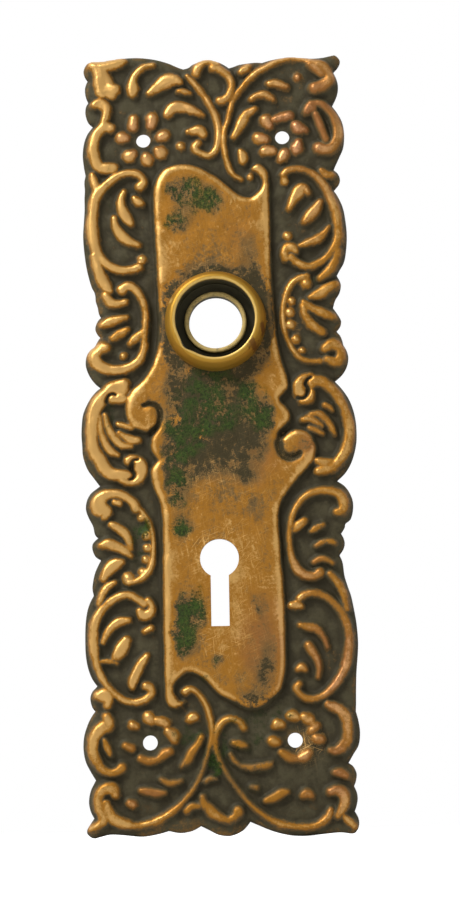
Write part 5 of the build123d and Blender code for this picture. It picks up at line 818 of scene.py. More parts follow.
@dataclass
class Relief:
    """Heights and wear of the sheet's front, on a raster; sizes in millimetres.

    Each row of rubbing is a share of the polish, and where past the crest's edge its loss starts and ends.
    """

    raster: Raster
    ground: float = 1.9
    panel_rise: float = 1.9
    panel_foot: float = 0.5
    panel_round: float = 1.9
    edge_height: float = 0.8
    roll: float = 2.2
    reach: float = 5.0
    ornament_fade: float = 1.6
    beaten: float = 0.1
    channel_depth: float = 1.1
    channel_spread: float = 0.15
    softened: float = 0.16
    hollow_reach: float = 1.3
    hollow_depth: float = 0.5
    stroke_step: float = 0.15
    rubbing: tuple[tuple[float, ...], ...] = ((0.24, -1.1, -0.1), (0.46, -0.3, 0.4), (0.3, 0.1, 1.2))

    def __post_init__(self) -> None:
        """Works out every field: a ground that rolls down to the edge, with what is raised on it."""
        raster = self.raster
        self.x, self.z = raster.places()
        self.edge = raster.depth_in(OUTLINE, self.reach)
        self.panel = raster.depth_in(PANEL, self.reach)
        self.crest = np.zeros(self.x.shape)
        raised = np.maximum(self._ornaments(), self._plateau())
        self.channel = self._channels()
        rim = 1 - np.clip(self.edge / self.roll, 0, 1)
        base = self.edge_height + (self.ground - self.edge_height) * np.sqrt(1 - rim**2)
        base = base + self.beaten * ripple(self.x, self.z, 5.0, 0.4) * np.clip(self.edge / 2, 0, 1)
        fade = np.sqrt(np.clip(self.edge / self.ornament_fade, 0, 1))
        pressed = raster.blur(raised - self.channel_depth * self.channel, self.softened)
        self.height = base + pressed * fade
        # The cavity field darkens the hollows in the shader: dark patina, partly painted shade.
        wide = raster.blur(self.height, self.hollow_reach)
        self.cavity = np.clip((wide - self.height) / self.hollow_depth, 0, 1)
        self.ridge = np.clip((self.height - wide) / self.hollow_depth, 0, 1)
        log.info("relief: heights %.2f to %.2f mm", self.height.min(), self.height.max())

    def _ornaments(self) -> np.ndarray:
        """Rise of the bands, stems, leaves, petals and beads above the ground.

        The side of each is a smooth step from its foot to its crest, and the higher of two shows. The
        crest field is 1 on the rubbed crest and falls in smooth steps: on it, at its edge, down the side.

        Returns:
            Heights above the ground.
        """
        total = np.zeros(self.x.shape)
        uneven = 0.07 * ripple(self.x, self.z, 1.7, 0.9) + 0.09 * ripple(self.x, self.z, 4.3, 2.7)
        strokes = [(kind, line) for kind, group in GROUPS.items() for line in group]
        for kind, line in strokes:
            path = smooth_path(line, self.stroke_step)
            rows, columns = self.raster.window(path, path[:, 2].max() + kind.spread + 0.2)
            gx, gz = self.x[rows, columns, None], self.z[rows, columns, None]
            gap = np.hypot(gx - path[:, 0], gz - path[:, 1])
            share = gap / (path[:, 2] + kind.spread)
            near = share.argmin(-1)[..., None]
            gap = np.take_along_axis(gap, near, -1)[..., 0]
            half = path[near[..., 0], 2]
            foot = half + kind.spread
            t = 1 - np.clip((foot - gap) / (kind.spread + kind.rounded * half), 0, 1)
            rise = kind.rise * ease(1 - t, 0, 1) ** 0.75
            total[rows, columns] = np.maximum(total[rows, columns], rise)
            past = gap - half + uneven[rows, columns]
            lost = sum(part * ease(past, low, high) for part, low, high in self.rubbing)
            self.crest[rows, columns] = np.maximum(self.crest[rows, columns], 1 - lost)
        return total

    def _plateau(self) -> np.ndarray:
        """Rise of the plain panel, a quarter round from just outside its edge to its flat."""
        t = 1 - np.clip((self.panel + self.panel_foot) / self.panel_round, 0, 1)
        return self.panel_rise * np.sqrt(1 - t * t)

    def _channels(self) -> np.ndarray:
        """Depth share of the volutes' channels and of the curls, bell-shaped across.

        Returns:
            0 away from a channel and 1 in its middle.
        """
        total = np.zeros(self.x.shape)
        for line in CHANNELS:
            path = smooth_path(line, self.stroke_step)
            rows, columns = self.raster.window(path, 3.0)
            gx, gz = self.x[rows, columns, None], self.z[rows, columns, None]
            gap = np.hypot(gx - path[:, 0], gz - path[:, 1])
            share = (gap / (path[:, 2] + self.channel_spread)).min(-1)
            total[rows, columns] = np.maximum(total[rows, columns], bell(share, 1.0))
        return total


def to_frame(plan: np.ndarray, height: np.ndarray | float) -> np.ndarray:
    """Plan points and heights in the row frame: x, minus the height, z.

    Args:
        plan: Rows of x and z in millimetres.
        height: Heights in front of the door.

    Returns:
        Rows of x, y and z in metres.
    """
    y = -np.broadcast_to(np.asarray(height, float), len(plan))
    return np.stack([plan[:, 0], y, plan[:, 1]], 1) * MM


def strip(first: np.ndarray, second: np.ndarray, flip: bool = False) -> np.ndarray:
    """Triangles between two closed loops of vertices.

    Args:
        first: Vertex numbers of one loop.
        second: Vertex numbers of the other.
        flip: Whether the faces look the other way.

    Returns:
        Rows of three vertex numbers.
    """
    a, b, c, d = first, np.roll(first, -1), np.roll(second, -1), second
    faces = np.vstack([np.stack([a, b, c], 1), np.stack([a, c, d], 1)])
    return faces[:, ::-1] if flip else faces


def mesh_object(
    name: str, points: np.ndarray, faces: np.ndarray, fields: dict[str, np.ndarray], crease: float
) -> bpy.types.Object:
    """A smooth-shaded mesh with a value of each field at each vertex.

    Args:
        name: Name of the object.
        points: Vertices in metres.
        faces: Triangles.
        fields: Values by attribute name.
        crease: Angle in degrees past which an edge stays hard.

    Returns:
        The object, linked to the scene.
    """
    mesh = bpy.data.meshes.new(name)
    mesh.vertices.add(len(points))
    mesh.vertices.foreach_set("co", np.ascontiguousarray(points, np.float32).ravel())
    mesh.loops.add(faces.size)
    mesh.loops.foreach_set("vertex_index", np.ascontiguousarray(faces, np.int32).ravel())
    mesh.polygons.add(len(faces))
    mesh.polygons.foreach_set("loop_start", np.arange(0, faces.size, 3, dtype=np.int32))
    mesh.update(calc_edges=True)
    for key, values in fields.items():
        layer = mesh.attributes.new(key, "FLOAT", "POINT")
        layer.data.foreach_set("value", np.ascontiguousarray(values, np.float32))
    mesh.shade_smooth()
    mesh.set_sharp_from_angle(angle=math.radians(crease))
    made = bpy.data.objects.new(name, mesh)
    bpy.context.scene.collection.objects.link(made)
    return made


@dataclass
class Plate:
    """The pressed sheet with its rim, relief and holes; sizes in millimetres, the margin in metres."""

    relief: Relief
    sheet: float = 1.0
    rounding: float = 0.14
    fine: float = 0.36
    coarse: float = 0.9
    behind: float = 1.15
    detail_reach: float = 2.6
    hole_radius: float = 10.4
    screw_radius: float = 1.75
    key_half: float = 2.15
    key_middle: float = -57.05
    key_foot: float = -73.1
    key_radius: float = 4.6
    ring_radius: float = 12.6
    ring_width: float = 1.5
    crease: float = 48.0
    margin: float = 2e-6

    def holes(self) -> list[np.ndarray]:
        """Outlines of the collar hole, the keyhole and the four screw holes.

        Returns:
            Closed clockwise outlines.
        """
        half, foot = self.key_half, self.key_foot
        start = math.asin(half / self.key_radius)
        turn = np.linspace(1.5 * math.pi - start, start - 0.5 * math.pi, 56)
        arc = np.stack([np.cos(turn), np.sin(turn)], 1) * self.key_radius + (0, self.key_middle)
        side = np.linspace(arc[-1, 1], foot, 30)[1:]
        across = np.linspace(half, -half, 10)[1:]
        right = np.stack([np.full_like(side, half), side], 1)
        base = np.stack([across, np.full_like(across, foot)], 1)
        left = right[-2::-1] * (-1, 1)
        key = np.vstack([arc, right, base, left])
        screws = [ring_path(x, z, self.screw_radius, 28) for x, z in SCREWS]
        return [ring_path(0, 0, self.hole_radius, 150), key, *screws]

    def surface(
        self, loops: list[np.ndarray], spacing: np.ndarray, clear: float
    ) -> tuple[np.ndarray, np.ndarray]:
        """Triangles over the sheet's plan, between its outline and its holes.

        Args:
            loops: The outline, then the holes.
            spacing: Rows of plan points to use between them.
            clear: Least distance of those points from the holes.

        Returns:
            Plan points, loops first, and triangles that look forward.
        """
        for hole in loops[1:]:
            low, high = hole.min(0) - 1, hole.max(0) + 1
            near = np.nonzero(((spacing > low) & (spacing < high)).all(1))[0]
            gap = np.sqrt(((spacing[near, None] - hole[None]) ** 2).sum(-1).min(1))
            drop = near[(gap < clear) | inside(hole, spacing[near])]
            spacing = np.delete(spacing, drop, 0)
        points = np.vstack([*loops, spacing])
        edges, first = [], 0
        for loop in loops:
            index = first + np.arange(len(loop))
            edges.append(np.stack([index, np.roll(index, -1)], 1))
            first += len(loop)
        found = delaunay_2d_cdt(points.tolist(), np.vstack(edges).tolist(), [], 1, 1e-7, False)
        points, faces = np.array(found[0]), np.array(found[2])
        start = 0
        for number, loop in enumerate(loops):
            whole = np.nonzero(((faces >= start) & (faces < start + len(loop))).all(1))[0]
            within = inside(loop, points[faces[whole]].mean(1))
            faces = np.delete(faces, whole[within == (number > 0)], 0)
            start += len(loop)
        a, b, c = (points[faces[:, k]] for k in range(3))
        turn = (b - a)[:, 0] * (c - a)[:, 1] - (b - a)[:, 1] * (c - a)[:, 0]
        faces[turn < 0] = faces[turn < 0][:, ::-1]
        return points, faces

    def grid(self, step: float) -> np.ndarray:
        """Plan points in rows, every other row shifted by half a step.

        Args:
            step: Distance between points.

        Returns:
            Rows of x and z over the whole plate.
        """
        x, z = np.arange(-34, 34, step), np.arange(-123, 68.5, step * 0.866)
        gx, gz = np.meshgrid(x, z)
        gx = gx + (np.arange(len(z)) % 2)[:, None] * step / 2
        return np.stack([gx.ravel(), gz.ravel()], 1)

    def front(self, outline: np.ndarray, holes: list[np.ndarray]) -> tuple[np.ndarray, ...]:
        """The front, with small triangles on the ornament and channels and large ones on the panel.

        Args:
            outline: Edge of the sheet.
            holes: Its holes.

        Returns:
            Plan points, triangles and heights.
        """
        r, raster = self.relief, self.relief.raster
        border, plain = self.grid(self.fine), self.grid(self.coarse)
        detail = ((r.panel < self.detail_reach) | (r.channel > 0.02)).astype(float)
        border = border[
            (raster.read(r.edge, border) > 0.6 * self.fine) & (raster.read(detail, border) > 0.5)
        ]
        plain = plain[raster.read(raster.blur(detail, 0.3), plain) < 0.02]
        plan, faces = self.surface([outline, *holes], np.vstack([border, plain]), 0.3)
        height = raster.read(r.height, plan)
        height[: len(outline)] = r.edge_height
        return plan, faces, height

    def back(self, outline: np.ndarray, holes: list[np.ndarray]) -> tuple[np.ndarray, ...]:
        """The back: the front's height averaged and less the sheet's thickness, curved down to the rim.

        Args:
            outline: Edge of the sheet, inset by its thickness.
            holes: Its holes.

        Returns:
            Plan points, triangles and heights.
        """
        r, raster = self.relief, self.relief.raster
        rear = self.grid(self.behind)
        rear = rear[raster.read(r.edge, rear) > self.sheet + 0.5 * self.behind]
        plan, faces = self.surface([outline, *holes], rear, 0.5)
        soft = raster.blur(r.height, 0.7) - self.sheet
        curve = 0.55 + np.clip(r.edge - self.sheet, 0, None) * 1.1
        height = raster.read(np.maximum(np.minimum(soft, curve), 0.3), plan)
        return plan, faces[:, ::-1], height

    def build(self, finish: Finish, box: list[list[float]]) -> bpy.types.Object:
        """Makes the sheet: front, turned-down rim, hole walls and back.

        Args:
            finish: The finish of the sheet.
            box: Lowest and highest corner of the part, which the mesh stays inside.

        Returns:
            The plate object.
        """
        outline, inner = (closed_path(OUTLINE, self.fine, inset) for inset in (0.0, self.sheet))
        holes = self.holes()
        front, front_faces, high = self.front(outline, holes)
        back, back_faces, deep = self.back(inner, holes)
        count, n = len(outline), len(front)
        bit, sheet = self.rounding, self.sheet
        rim = [(0.0, bit), (bit, 0.0), (sheet - bit, 0.0), (sheet, bit)]
        rings = [to_frame(closed_path(OUTLINE, self.fine, inset), level) for inset, level in rim]
        points = np.vstack([to_frame(front, high), to_frame(back, deep), *rings])
        points = np.clip(points, np.array(box[0]) + self.margin, np.array(box[1]) - self.margin)
        start = n + len(back)
        order = [np.arange(count)]
        order += [start + count * k + np.arange(count) for k in range(len(rim))]
        order.append(n + np.arange(count))
        faces = [front_faces, back_faces + n]
        faces += [strip(a, b) for a, b in zip(order, order[1:])]
        first = count
        for hole in holes:
            index = first + np.arange(len(hole))
            faces.append(strip(index, index + n, flip=True))
            first += len(hole)
        fields = self.wear_stain_and_shade(front, len(points))
        made = mesh_object("plate_sheet", points, np.vstack(faces), fields, self.crease)
        made.data.materials.append(finish.material())
        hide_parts("plate")
        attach(made, "root")
        log.info("plate_sheet: %d vertices, %d triangles", len(points), len(made.data.polygons))
        return made

    def wear_stain_and_shade(self, front: np.ndarray, count: int) -> dict[str, np.ndarray]:
        """Wear, stain and painted shade at each vertex; the rim and the back keep an even dull value.

        Args:
            front: Plan points of the front.
            count: Number of vertices in all.

        Returns:
            Values by attribute name.
        """
        r, raster = self.relief, self.relief.raster
        x = r.x + 0.9 * ripple(r.x, r.z, 9.0, 0.7) + 0.4 * ripple(r.x, r.z, 3.1, 1.9)
        z = r.z + 0.9 * ripple(r.x, r.z, 9.0, 2.3) + 0.4 * ripple(r.x, r.z, 3.1, 4.2)
        stains_and_shade = {key: sum(Patch(*row).weight(x, z) for row in rows) for key, rows in STAINS_AND_SHADE.items()}
        on_panel = ease(r.panel, -0.3, 0.7)
        # A dark ring on the panel round the collar's foot: painted shade of the collar, with some grime
        # and green.
        collar_ring_shade_and_grime = bell(np.hypot(x, z) - self.ring_radius, self.ring_width) * on_panel
        stains_and_shade["dark"] = stains_and_shade["dark"] + 0.75 * collar_ring_shade_and_grime
        stains_and_shade["green"] = stains_and_shade["green"] + 0.3 * collar_ring_shade_and_grime
        fields = {
            "crest": r.crest,
            "ridge": r.ridge,
            "cavity": r.cavity,
            "channel": r.channel,
            "panel": on_panel,
            "panel_edge": bell(r.panel - 0.75, 0.75),
            "rim": bell(r.edge, 0.9),
            **stains_and_shade,
        }
        even = {"crest": 0.12, "ridge": 0.1, "cavity": 0.2, "rim": 0.6}
        values = {}
        for key, field in fields.items():
            values[key] = np.full(count, even.get(key, 0.0))
            values[key][: len(front)] = raster.read(field, front)
        return values


@dataclass
class Collar:
    """The turned brass collar: a cup with a round lip, a floor and a neck round the spindle hole."""

    segments: int = 160
    fillet: int = 5
    longest: float = 0.45
    # A chip at the lip's left: a small dent, worn bright and carrying a painted highlight.
    chip_and_glint: Patch = Patch(-10.6, 4.9, 0.6, 0.9)
    chip_depth: float = 0.2
    dent_angle: float = 3.89
    dent_width: float = 0.16
    dent_push: float = 0.07
    tarnish: tuple[Patch, ...] = (Patch(9.0, -6.4, 1.8, 1.7), Patch(11.3, -2.6, 0.7, 1.6))
    crease: float = 40.0

    def profile(self) -> np.ndarray:
        """Closed profile of the collar, with each corner rounded by a short curve.

        A corner is replaced by points of the parabola that touches both of its sides.

        Returns:
            Rows of radius and height in millimetres.
        """
        # Radius, height and length of the side that each corner's curve takes up.
        corners = np.array(
            [
                (12.15, 3.8, 0.05), (12.15, 4.25, 0.3), (11.85, 6.2, 1.0), (10.7, 8.2, 0.6),
                (9.525, 8.2, 0.4), (9.525, 3.8, 0.1), (9.775, 3.55, 0.1), (9.775, 1.6, 0.3),
                (7.5, 1.6, 0.3), (7.5, 3.5, 0.45), (6.4, 3.5, 0.45), (6.4, 0.6, 0.2),
                (10.4, 0.6, 0.25), (10.4, 1.7, 0.2), (11.4, 1.9, 0.3), (11.4, 2.8, 0.05),
                (10.4, 2.8, 0.03), (10.4, 3.8, 0.03),
            ]
        )
        p, cut = corners[:, :2], corners[:, 2:]
        back, on = np.roll(p, 1, 0) - p, np.roll(p, -1, 0) - p
        start = p + back * cut / np.hypot(*back.T)[:, None]
        end = p + on * cut / np.hypot(*on.T)[:, None]
        t = np.linspace(0, 1, self.fillet)[None, :, None]
        curve = start[:, None] * (1 - t) ** 2 + 2 * p[:, None] * t * (1 - t) + end[:, None] * t**2
        ring = curve.reshape(-1, 2)
        step = np.roll(ring, -1, 0) - ring
        parts = np.maximum(1, np.ceil(np.hypot(*step.T) / self.longest)).astype(int)
        index = np.repeat(np.arange(len(ring)), parts)
        share = (np.arange(len(index)) - np.repeat(np.cumsum(parts) - parts, parts)) / parts[index]
        return ring[index] + share[:, None] * step[index]

    def build(self, finish: Finish) -> bpy.types.Object:
        """Turns the profile round the knob axis, with a chip at the lip's left, bright with a painted
        highlight, and a dent below it.

        Args:
            finish: The finish of the collar.

        Returns:
            The collar object.
        """
        profile = self.profile()
        turn = np.linspace(0, 2 * np.pi, self.segments, endpoint=False)
        radius, angle = (g.ravel() for g in np.meshgrid(profile[:, 0], turn))
        height = np.tile(profile[:, 1], self.segments)
        x, z = radius * np.cos(angle), radius * np.sin(angle)
        chip_and_glint = self.chip_and_glint.weight(x, z) * ease(height, 4.8, 6.0)
        dent = bell(angle - self.dent_angle, self.dent_width) * ease(height, 4.5, 8.0)
        wide = 1 + self.dent_push * dent * (1 - ease(radius, 9.6, 10.9))
        points = np.stack([x * wide, self.chip_depth * chip_and_glint - height, z * wide], 1) * MM
        grid = np.arange(len(points)).reshape(self.segments, len(profile))
        rings = [strip(first, second) for first, second in zip(grid, np.roll(grid, -1, 0))]
        fields = {
            "lip": ease(height, 7.5, 8.1) * (1 - ease(radius, 9.8, 10.5)),
            "chip_and_glint": chip_and_glint,
            "tarnish": sum(patch.weight(x, z) for patch in self.tarnish),
            # cup and depth mask the painted shade inside the cup, darker the deeper.
            "cup": (1 - ease(radius, 9.8, 10.1)) * (1 - ease(height, 7.3, 8.1)),
            "depth": 1 - ease(height, 1.5, 7.5),
            "neck": ease(height, 2.4, 3.3) * (1 - ease(radius, 7.5, 7.8)),
        }
        made = mesh_object("collar_turned", points, np.vstack(rings), fields, self.crease)
        made.data.materials.append(finish.material())
        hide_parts("knob_collar")
        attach(made, "root")
        log.info("collar_turned: %d vertices, %d triangles", len(points), len(made.data.polygons))
        return made


class Wire:
    """A shader value that takes part in sums and products, each of which adds a maths node."""

    def __init__(self, graph: Graph, socket: bpy.types.NodeSocket) -> None:
        """Wraps an output socket."""
        self.graph = graph
        self.socket = socket

    def _math(self, operation: str, *values: Wire | float) -> Wire:
        """Adds a maths node."""
        inputs = dict(enumerate(values))
        return self.graph.add("ShaderNodeMath", {"operation": operation}, inputs)

    def __add__(self, other: Wire | float) -> Wire:
        """Sum of two values."""
        return self._math("ADD", self, other)

    def __sub__(self, other: Wire | float) -> Wire:
        """Difference of two values."""
        return self._math("SUBTRACT", self, other)

    def __rsub__(self, other: float) -> Wire:
        """Difference with the plain number first."""
        return self._math("SUBTRACT", other, self)

    def __mul__(self, other: Wire | float) -> Wire:
        """Product of two values."""
        return self._math("MULTIPLY", self, other)

    __radd__ = __add__
    __rmul__ = __mul__

    def maximum(self, other: Wire | float) -> Wire:
        """The larger of two values."""
        return self._math("MAXIMUM", self, other)

    def eased(self, low: float, high: float) -> Wire:
        """A smooth step from 0 where the value is low to 1 where it is high."""
        inputs = {"Value": self, "From Min": low, "From Max": high}
        return self.graph.add("ShaderNodeMapRange", {"interpolation_type": "SMOOTHSTEP"}, inputs)


class Graph:
    """Builds the nodes of one material or world."""

    def __init__(self, tree: bpy.types.NodeTree) -> None:
        """Starts from an empty tree."""
        self.tree = tree
        tree.nodes.clear()

    def add(
        self, kind: str, settings: dict | None = None, inputs: dict | None = None, out: str | int = 0
    ) -> Wire:
        """Adds a node: its settings first, then its sockets.

        Args:
            kind: Type of the node.
            settings: Its properties.
            inputs: Values or wires by socket number, identifier or name.
            out: Number or name of the output wanted.

        Returns:
            That output.
        """
        node = self.tree.nodes.new(kind)
        for key, value in (settings or {}).items():
            setattr(node, key, value)
        named = {socket.identifier: socket for socket in node.inputs}
        for key, value in (inputs or {}).items():
            socket = named.get(key) or node.inputs[key]
            if isinstance(value, Wire):
                self.tree.links.new(value.socket, socket)
            else:
                socket.default_value = value
        found = {socket.identifier: socket for socket in node.outputs}.get(out)
        if found is None and len(node.outputs):
            found = node.outputs[out]
        return Wire(self, found)

    def attribute(self, name: str) -> Wire:
        """A value stored at the vertices."""
        return self.add("ShaderNodeAttribute", {"attribute_name": name}, None, "Fac")

    def place(self, scale: tuple[float, float, float], turn: float = 0.0) -> Wire:
        """Object coordinates, turned about Y and then scaled.

        Args:
            scale: Scale along each axis.
            turn: Turn in degrees.

        Returns:
            The coordinates.
        """
        here = self.add("ShaderNodeTexCoord", None, None, "Object")
        turned = self.add(
            "ShaderNodeVectorRotate",
            {"rotation_type": "Y_AXIS"},
            {"Vector": here, "Angle": math.radians(turn)},
        )
        return self.add("ShaderNodeVectorMath", {"operation": "MULTIPLY"}, {0: turned, 1: scale})

    def noise(self, place: Wire, scale: float, detail: float = 3.0, rough: float = 0.55) -> Wire:
        """Soft random values."""
        inputs = {"Vector": place, "Scale": scale, "Detail": detail, "Roughness": rough}
        return self.add("ShaderNodeTexNoise", None, inputs, "Fac")

    def mix(self, share: Wire | float, first: Wire | tuple, second: Wire | tuple) -> Wire:
        """Mixes two colours.

        Args:
            share: Share of the second colour.
            first: First colour.
            second: Second colour.

        Returns:
            The mixed colour.
        """
        settings = {"data_type": "RGBA", "clamp_factor": True}
        pair = {
            "A_Color": first if isinstance(first, Wire) else (*first, 1.0),
            "B_Color": second if isinstance(second, Wire) else (*second, 1.0),
        }
        return self.add("ShaderNodeMix", settings, {"Factor_Float": share, **pair}, "Result_Color")


def linear(red: int, green: int, blue: int) -> Colour:
    """A screen colour as linear light: the standard power law with its straight foot.

    Args:
        red: Red from 0 to 255.
        green: Green from 0 to 255.
        blue: Blue from 0 to 255.

    Returns:
        Linear red, green and blue.
    """
    share = np.array([red, green, blue]) / 255
    curve = ((share + 0.055) / 1.055) ** 2.4
    return tuple(np.where(share <= 0.04045, share / 12.92, curve).tolist())


class Finish:
    """A surface finish that makes its own material."""

    name: str = "finish"

    def material(self) -> bpy.types.Material:
        """Makes the material.

        Returns:
            The material.
        """
        made = bpy.data.materials.new(self.name)
        made.use_nodes = True
        graph = Graph(made.node_tree)
        surface = self.surface(graph)
        graph.add("ShaderNodeOutputMaterial", None, {"Surface": surface})
        return made

    def surface(self, graph: Graph) -> Wire:
        """Builds the shader."""
        return graph.add("ShaderNodeBsdfPrincipled")


@dataclass(frozen=True)
class AgedBronze(Finish):
    """Old pressed bronze: rubbed gold on the crests, brown on the slopes, and soot with painted shade in
    the hollows.
    """

    name: str = "aged_bronze"
    bright: Colour = linear(216, 169, 98)
    rose: Colour = linear(214, 156, 108)
    gold: Colour = linear(166, 113, 38)
    copper: Colour = linear(148, 98, 54)
    brown: Colour = linear(108, 84, 48)
    soot: Colour = linear(76, 70, 49)
    umber: Colour = linear(56, 47, 22)
    pitch: Colour = linear(54, 48, 31)
    moss: Colour = linear(26, 36, 12)
    fern: Colour = linear(58, 84, 22)

    def surface(self, graph: Graph) -> Wire:
        """Layers rubbed metal over brown, soot and green by the wear, stain and painted shade stored at
        the vertices.

        Args:
            graph: The graph to build in.

        Returns:
            The shader.
        """
        value = graph.attribute
        even = graph.place((1, 1, 1))
        coarse, middle, grain = (graph.noise(even, scale, 5.0, 0.6) for scale in (90, 330, 1300))
        speck = graph.noise(even, 3100, 3.0, 0.7)
        uneven = (coarse - 0.5) * 0.8 + (middle - 0.5) * 0.7 + (grain - 0.5) * 0.7 + (speck - 0.5) * 0.3
        fine = (grain - 0.5) * 2.2 + (speck - 0.5) * 1.3
        mottle = (coarse - 0.5) * 1.4 + (middle - 0.5) * 2.0 + fine * 0.8
        spread = (middle - 0.5) * 2.6 - (coarse - 0.5) * 1.2 + fine * 0.8
        # The dark value holds stains and the painted shade round the collar and along the panel's foot.
        stain_and_shade = (value("dark") * (0.95 + mottle * 1.8)).eased(0.12, 1.0)
        fleck = (middle * 0.6 + grain * 0.4 - coarse * 0.2).eased(0.46, 0.56) * value("panel")
        exposed = (
            value("crest") * (1.1 - value("dull") * 0.8)
            + value("dull") * 0.16
            + value("ridge") * 0.1
            + value("panel") * 0.53
            + value("panel_edge") * 0.3
            + value("rim") * 0.18
            + value("bright")
            - stain_and_shade * 0.74
            + fleck * 0.14
            # The cavity term: painted shade in the hollows, with dark patina.
            - value("cavity") * 0.2
            - value("channel") * 1.1
            + uneven * (1.0 - value("crest") * 0.15)
        )
        gold = graph.mix((value("red") + (coarse - 0.5) * 0.6).eased(0.1, 0.9), self.gold, self.copper)
        bright = graph.mix(value("red").eased(0.1, 0.9), self.bright, self.rose)
        # Soot turns to pitch in the hollows: dark patina, partly painted shade.
        soot_and_hollow_shade = (middle * 0.6 + grain * 0.4 + value("cavity") * 0.25).eased(0.4, 0.75)
        low = graph.mix(soot_and_hollow_shade, self.soot, self.pitch)
        low = graph.mix(value("panel") * 0.7, low, self.umber)
        colour = graph.mix(exposed.eased(0.08, 0.34), low, self.brown)
        colour = graph.mix(exposed.eased(0.3, 0.62), colour, gold)
        colour = graph.mix(exposed.eased(0.62, 1.0), colour, bright)
        share = exposed.eased(0.1, 0.9)
        tint = graph.mix((grain * 0.5 + speck * 0.5).eased(0.38, 0.62), self.fern, self.moss)
        green = (value("green") * (0.9 + spread * 2.0)).eased(0.25, 1.0) * 0.85
        colour = graph.mix(green, colour, tint)
        lines = [
            graph.noise(graph.place((60, 60, 2.2), turn), 75, 1.5).eased(0.6, 0.74)
            for turn in (14, 71, -38, 5, 112, -67)
        ]
        marks = sum(lines[1:], lines[0]) * (1.0 - stain_and_shade.maximum(green) * 0.8)
        colour = graph.mix(marks * (value("panel") * 0.14 + value("scuff") * 0.95), colour, self.bright)
        pits = {"Strength": 0.35, "Distance": 0.00025, "Height": grain + middle}
        inputs = {
            "Base Color": colour,
            "Metallic": share * 0.6 + 0.15,
            "Roughness": 0.6 - share * 0.18,
            "Specular IOR Level": 0.2,
            "Normal": graph.add("ShaderNodeBump", None, pits),
        }
        return graph.add("ShaderNodeBsdfPrincipled", None, inputs)


@dataclass(frozen=True)
class WornBrass(Finish):
    """Dull turned brass: olive on the flank, bright at the lip, and painted shade that darkens the cup."""

    name: str = "worn_brass"
    olive: Colour = linear(180, 136, 46)
    bright: Colour = linear(222, 186, 104)
    russet: Colour = linear(104, 62, 30)
    # Colour of the painted shade inside the cup.
    dark: Colour = linear(66, 60, 36)
    pale: Colour = linear(196, 170, 104)

    def surface(self, graph: Graph) -> Wire:
        """Mixes the olive flank, the worn lip, the chip's painted highlight and the painted shade of the
        cup.

        Args:
            graph: The graph to build in.

        Returns:
            The shader.
        """
        value = graph.attribute
        even = graph.place((1, 1, 1))
        coarse, grain = graph.noise(even, 120, 4.0), graph.noise(even, 900, 4.0)
        uneven = (grain - 0.5) * 0.5 + (coarse - 0.5) * 0.4
        # The chip is worn bright and carries a painted highlight.
        share = (value("lip") + value("chip_and_glint") * 1.4 + uneven).eased(0.2, 1.0)
        colour = graph.mix(share, self.olive, self.bright)
        spots = (value("tarnish") + (grain - 0.5) * 1.6 + (coarse - 0.5) * 0.8).eased(0.35, 0.8)
        colour = graph.mix(spots * 0.75, colour, self.russet)
        # Painted shade: the cup darkens towards its floor by the depth value.
        cup = (value("cup") * (0.75 + value("depth")) + (grain - 0.5) * 0.2).eased(0.1, 0.9)
        colour = graph.mix(cup, colour, self.dark)
        patchy = (grain * 1.6 + coarse * 1.2 - 0.55).eased(0.1, 0.9)
        colour = graph.mix(value("neck") * patchy, colour, self.pale)
        inputs = {
            "Base Color": colour,
            "Metallic": 0.75 - cup * 0.4,
            "Roughness": 0.42 + grain * 0.16 + cup * 0.15,
        }
        return graph.add("ShaderNodeBsdfPrincipled", None, inputs)


@dataclass(frozen=True)
class PaleFloor(Finish):
    """A plain pale floor, lifted to white where the camera sees it lit."""

    name: str = "pale_floor"
    colour: Colour = (0.86, 0.86, 0.86)
    lift: float = 0.7

    def surface(self, graph: Graph) -> Wire:
        """A rough pale surface with a little light of its own for the camera.

        Args:
            graph: The graph to build in.

        Returns:
            The shader.
        """
        seen = graph.add("ShaderNodeLightPath", None, None, "Is Camera Ray")
        inputs = {
            "Base Color": (*self.colour, 1.0),
            "Roughness": 0.9,
            "Emission Color": graph.mix(seen, (0, 0, 0), (self.lift,) * 3),
            "Emission Strength": 1.0,
        }
        return graph.add("ShaderNodeBsdfPrincipled", None, inputs)


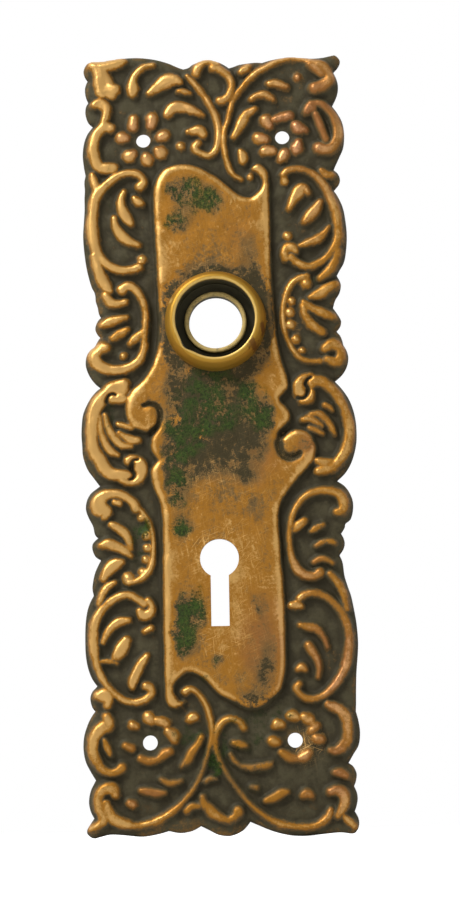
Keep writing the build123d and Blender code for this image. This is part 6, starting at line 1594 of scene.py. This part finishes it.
@dataclass(frozen=True)
class Studio:
    """Camera, soft lamps, white surroundings and floor."""

    target: tuple[float, float, float] = (0.00284, 0.0, -0.03188)
    distance: float = 0.55
    elevation: float = -9.22
    azimuth: float = 1.36
    roll: float = -1.01
    lens: float = 90.97
    floor_level: float = -0.12212
    floor_half: float = 2.5
    ambient: float = 0.3

    def camera(self) -> None:
        """Places the camera where the photo was taken from."""
        a, e, r = (math.radians(v) for v in (self.azimuth, self.elevation, self.roll))
        back = Vector((math.sin(a) * math.cos(e), -math.cos(a) * math.cos(e), math.sin(e)))
        right = Vector((0, 0, 1)).cross(back).normalized()
        up = back.cross(right)
        turned = right * math.cos(r) + up * math.sin(r)
        data = bpy.data.cameras.new("camera")
        data.lens, data.sensor_width, data.sensor_fit = self.lens, 36.0, "AUTO"
        data.clip_start, data.clip_end = 0.005, 20.0
        made = bpy.data.objects.new("camera", data)
        axes = Matrix((turned, back.cross(turned), back)).transposed()
        place = Vector(self.target) + back * self.distance
        made.matrix_world = Matrix.Translation(place) @ axes.to_4x4()
        bpy.context.scene.collection.objects.link(made)
        bpy.context.scene.camera = made

    def lamp(self, name: str, place: tuple[float, float, float], size: float, power: float) -> None:
        """Adds a square soft lamp that looks at the plate.

        Args:
            name: Name of the lamp.
            place: Where it stands, in metres.
            size: Side of the square.
            power: Power in watts.
        """
        data = bpy.data.lights.new(name, "AREA")
        data.size, data.energy = size, power
        made = bpy.data.objects.new(name, data)
        turn = (Vector(self.target) - Vector(place)).to_track_quat("-Z", "Y")
        made.matrix_world = Matrix.Translation(place) @ turn.to_matrix().to_4x4()
        bpy.context.scene.collection.objects.link(made)

    def surroundings(self) -> None:
        """White for the camera, and behind the plate for mirrored and clear rays; else a dim room."""
        world = bpy.data.worlds.new("studio")
        bpy.context.scene.world = world
        world.use_nodes = True
        graph = Graph(world.node_tree)
        camera, glossy, clear = (
            graph.add("ShaderNodeLightPath", None, None, f"Is {kind} Ray")
            for kind in ("Camera", "Glossy", "Transmission")
        )
        way = graph.add("ShaderNodeTexCoord", None, None, "Generated")
        ahead = graph.add("ShaderNodeSeparateXYZ", None, {0: way}, "Y").eased(-0.25, 0.25)
        shown = camera.maximum((glossy + clear) * ahead)
        level = shown * (1.0 - self.ambient) + self.ambient
        white = graph.add("ShaderNodeBackground", None, {"Color": (1, 1, 1, 1), "Strength": level})
        graph.add("ShaderNodeOutputWorld", None, {"Surface": white})

    def floor(self, finish: Finish) -> None:
        """Lays the floor just under the plate.

        Args:
            finish: The finish of the floor.
        """
        mesh = bpy.data.meshes.new("floor")
        signs = ((-1, -1), (1, -1), (1, 1), (-1, 1))
        square = [(x * self.floor_half, y * self.floor_half, self.floor_level) for x, y in signs]
        mesh.from_pydata(square, [], [(0, 1, 2, 3)])
        mesh.materials.append(finish.material())
        made = bpy.data.objects.new("floor", mesh)
        bpy.context.scene.collection.objects.link(made)
        made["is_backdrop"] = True

    def build(self) -> None:
        """Sets up the whole studio."""
        self.camera()
        self.lamp("key", (-0.6, -0.6, 0.75), 0.4, 12.5)
        self.lamp("fill", (0.8, -0.9, 0.1), 0.9, 1.6)
        self.surroundings()
        self.floor(PaleFloor())
        bpy.context.scene.view_settings.view_transform = "Standard"


def corners() -> list[list[float]]:
    """The box of the shown object.

    Returns:
        Its lowest and highest corner.
    """
    return [list(corner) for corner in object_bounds()]


def main() -> None:
    """Builds the plate inside the box of the loaded parts, then its collar and the studio."""
    logging.basicConfig(level=logging.INFO, format="%(name)s: %(message)s")
    loaded = corners()
    Plate(Relief(Raster())).build(AgedBronze(), loaded)
    Collar().build(WornBrass())
    Studio().build()


if __name__ == "__main__":
    main()
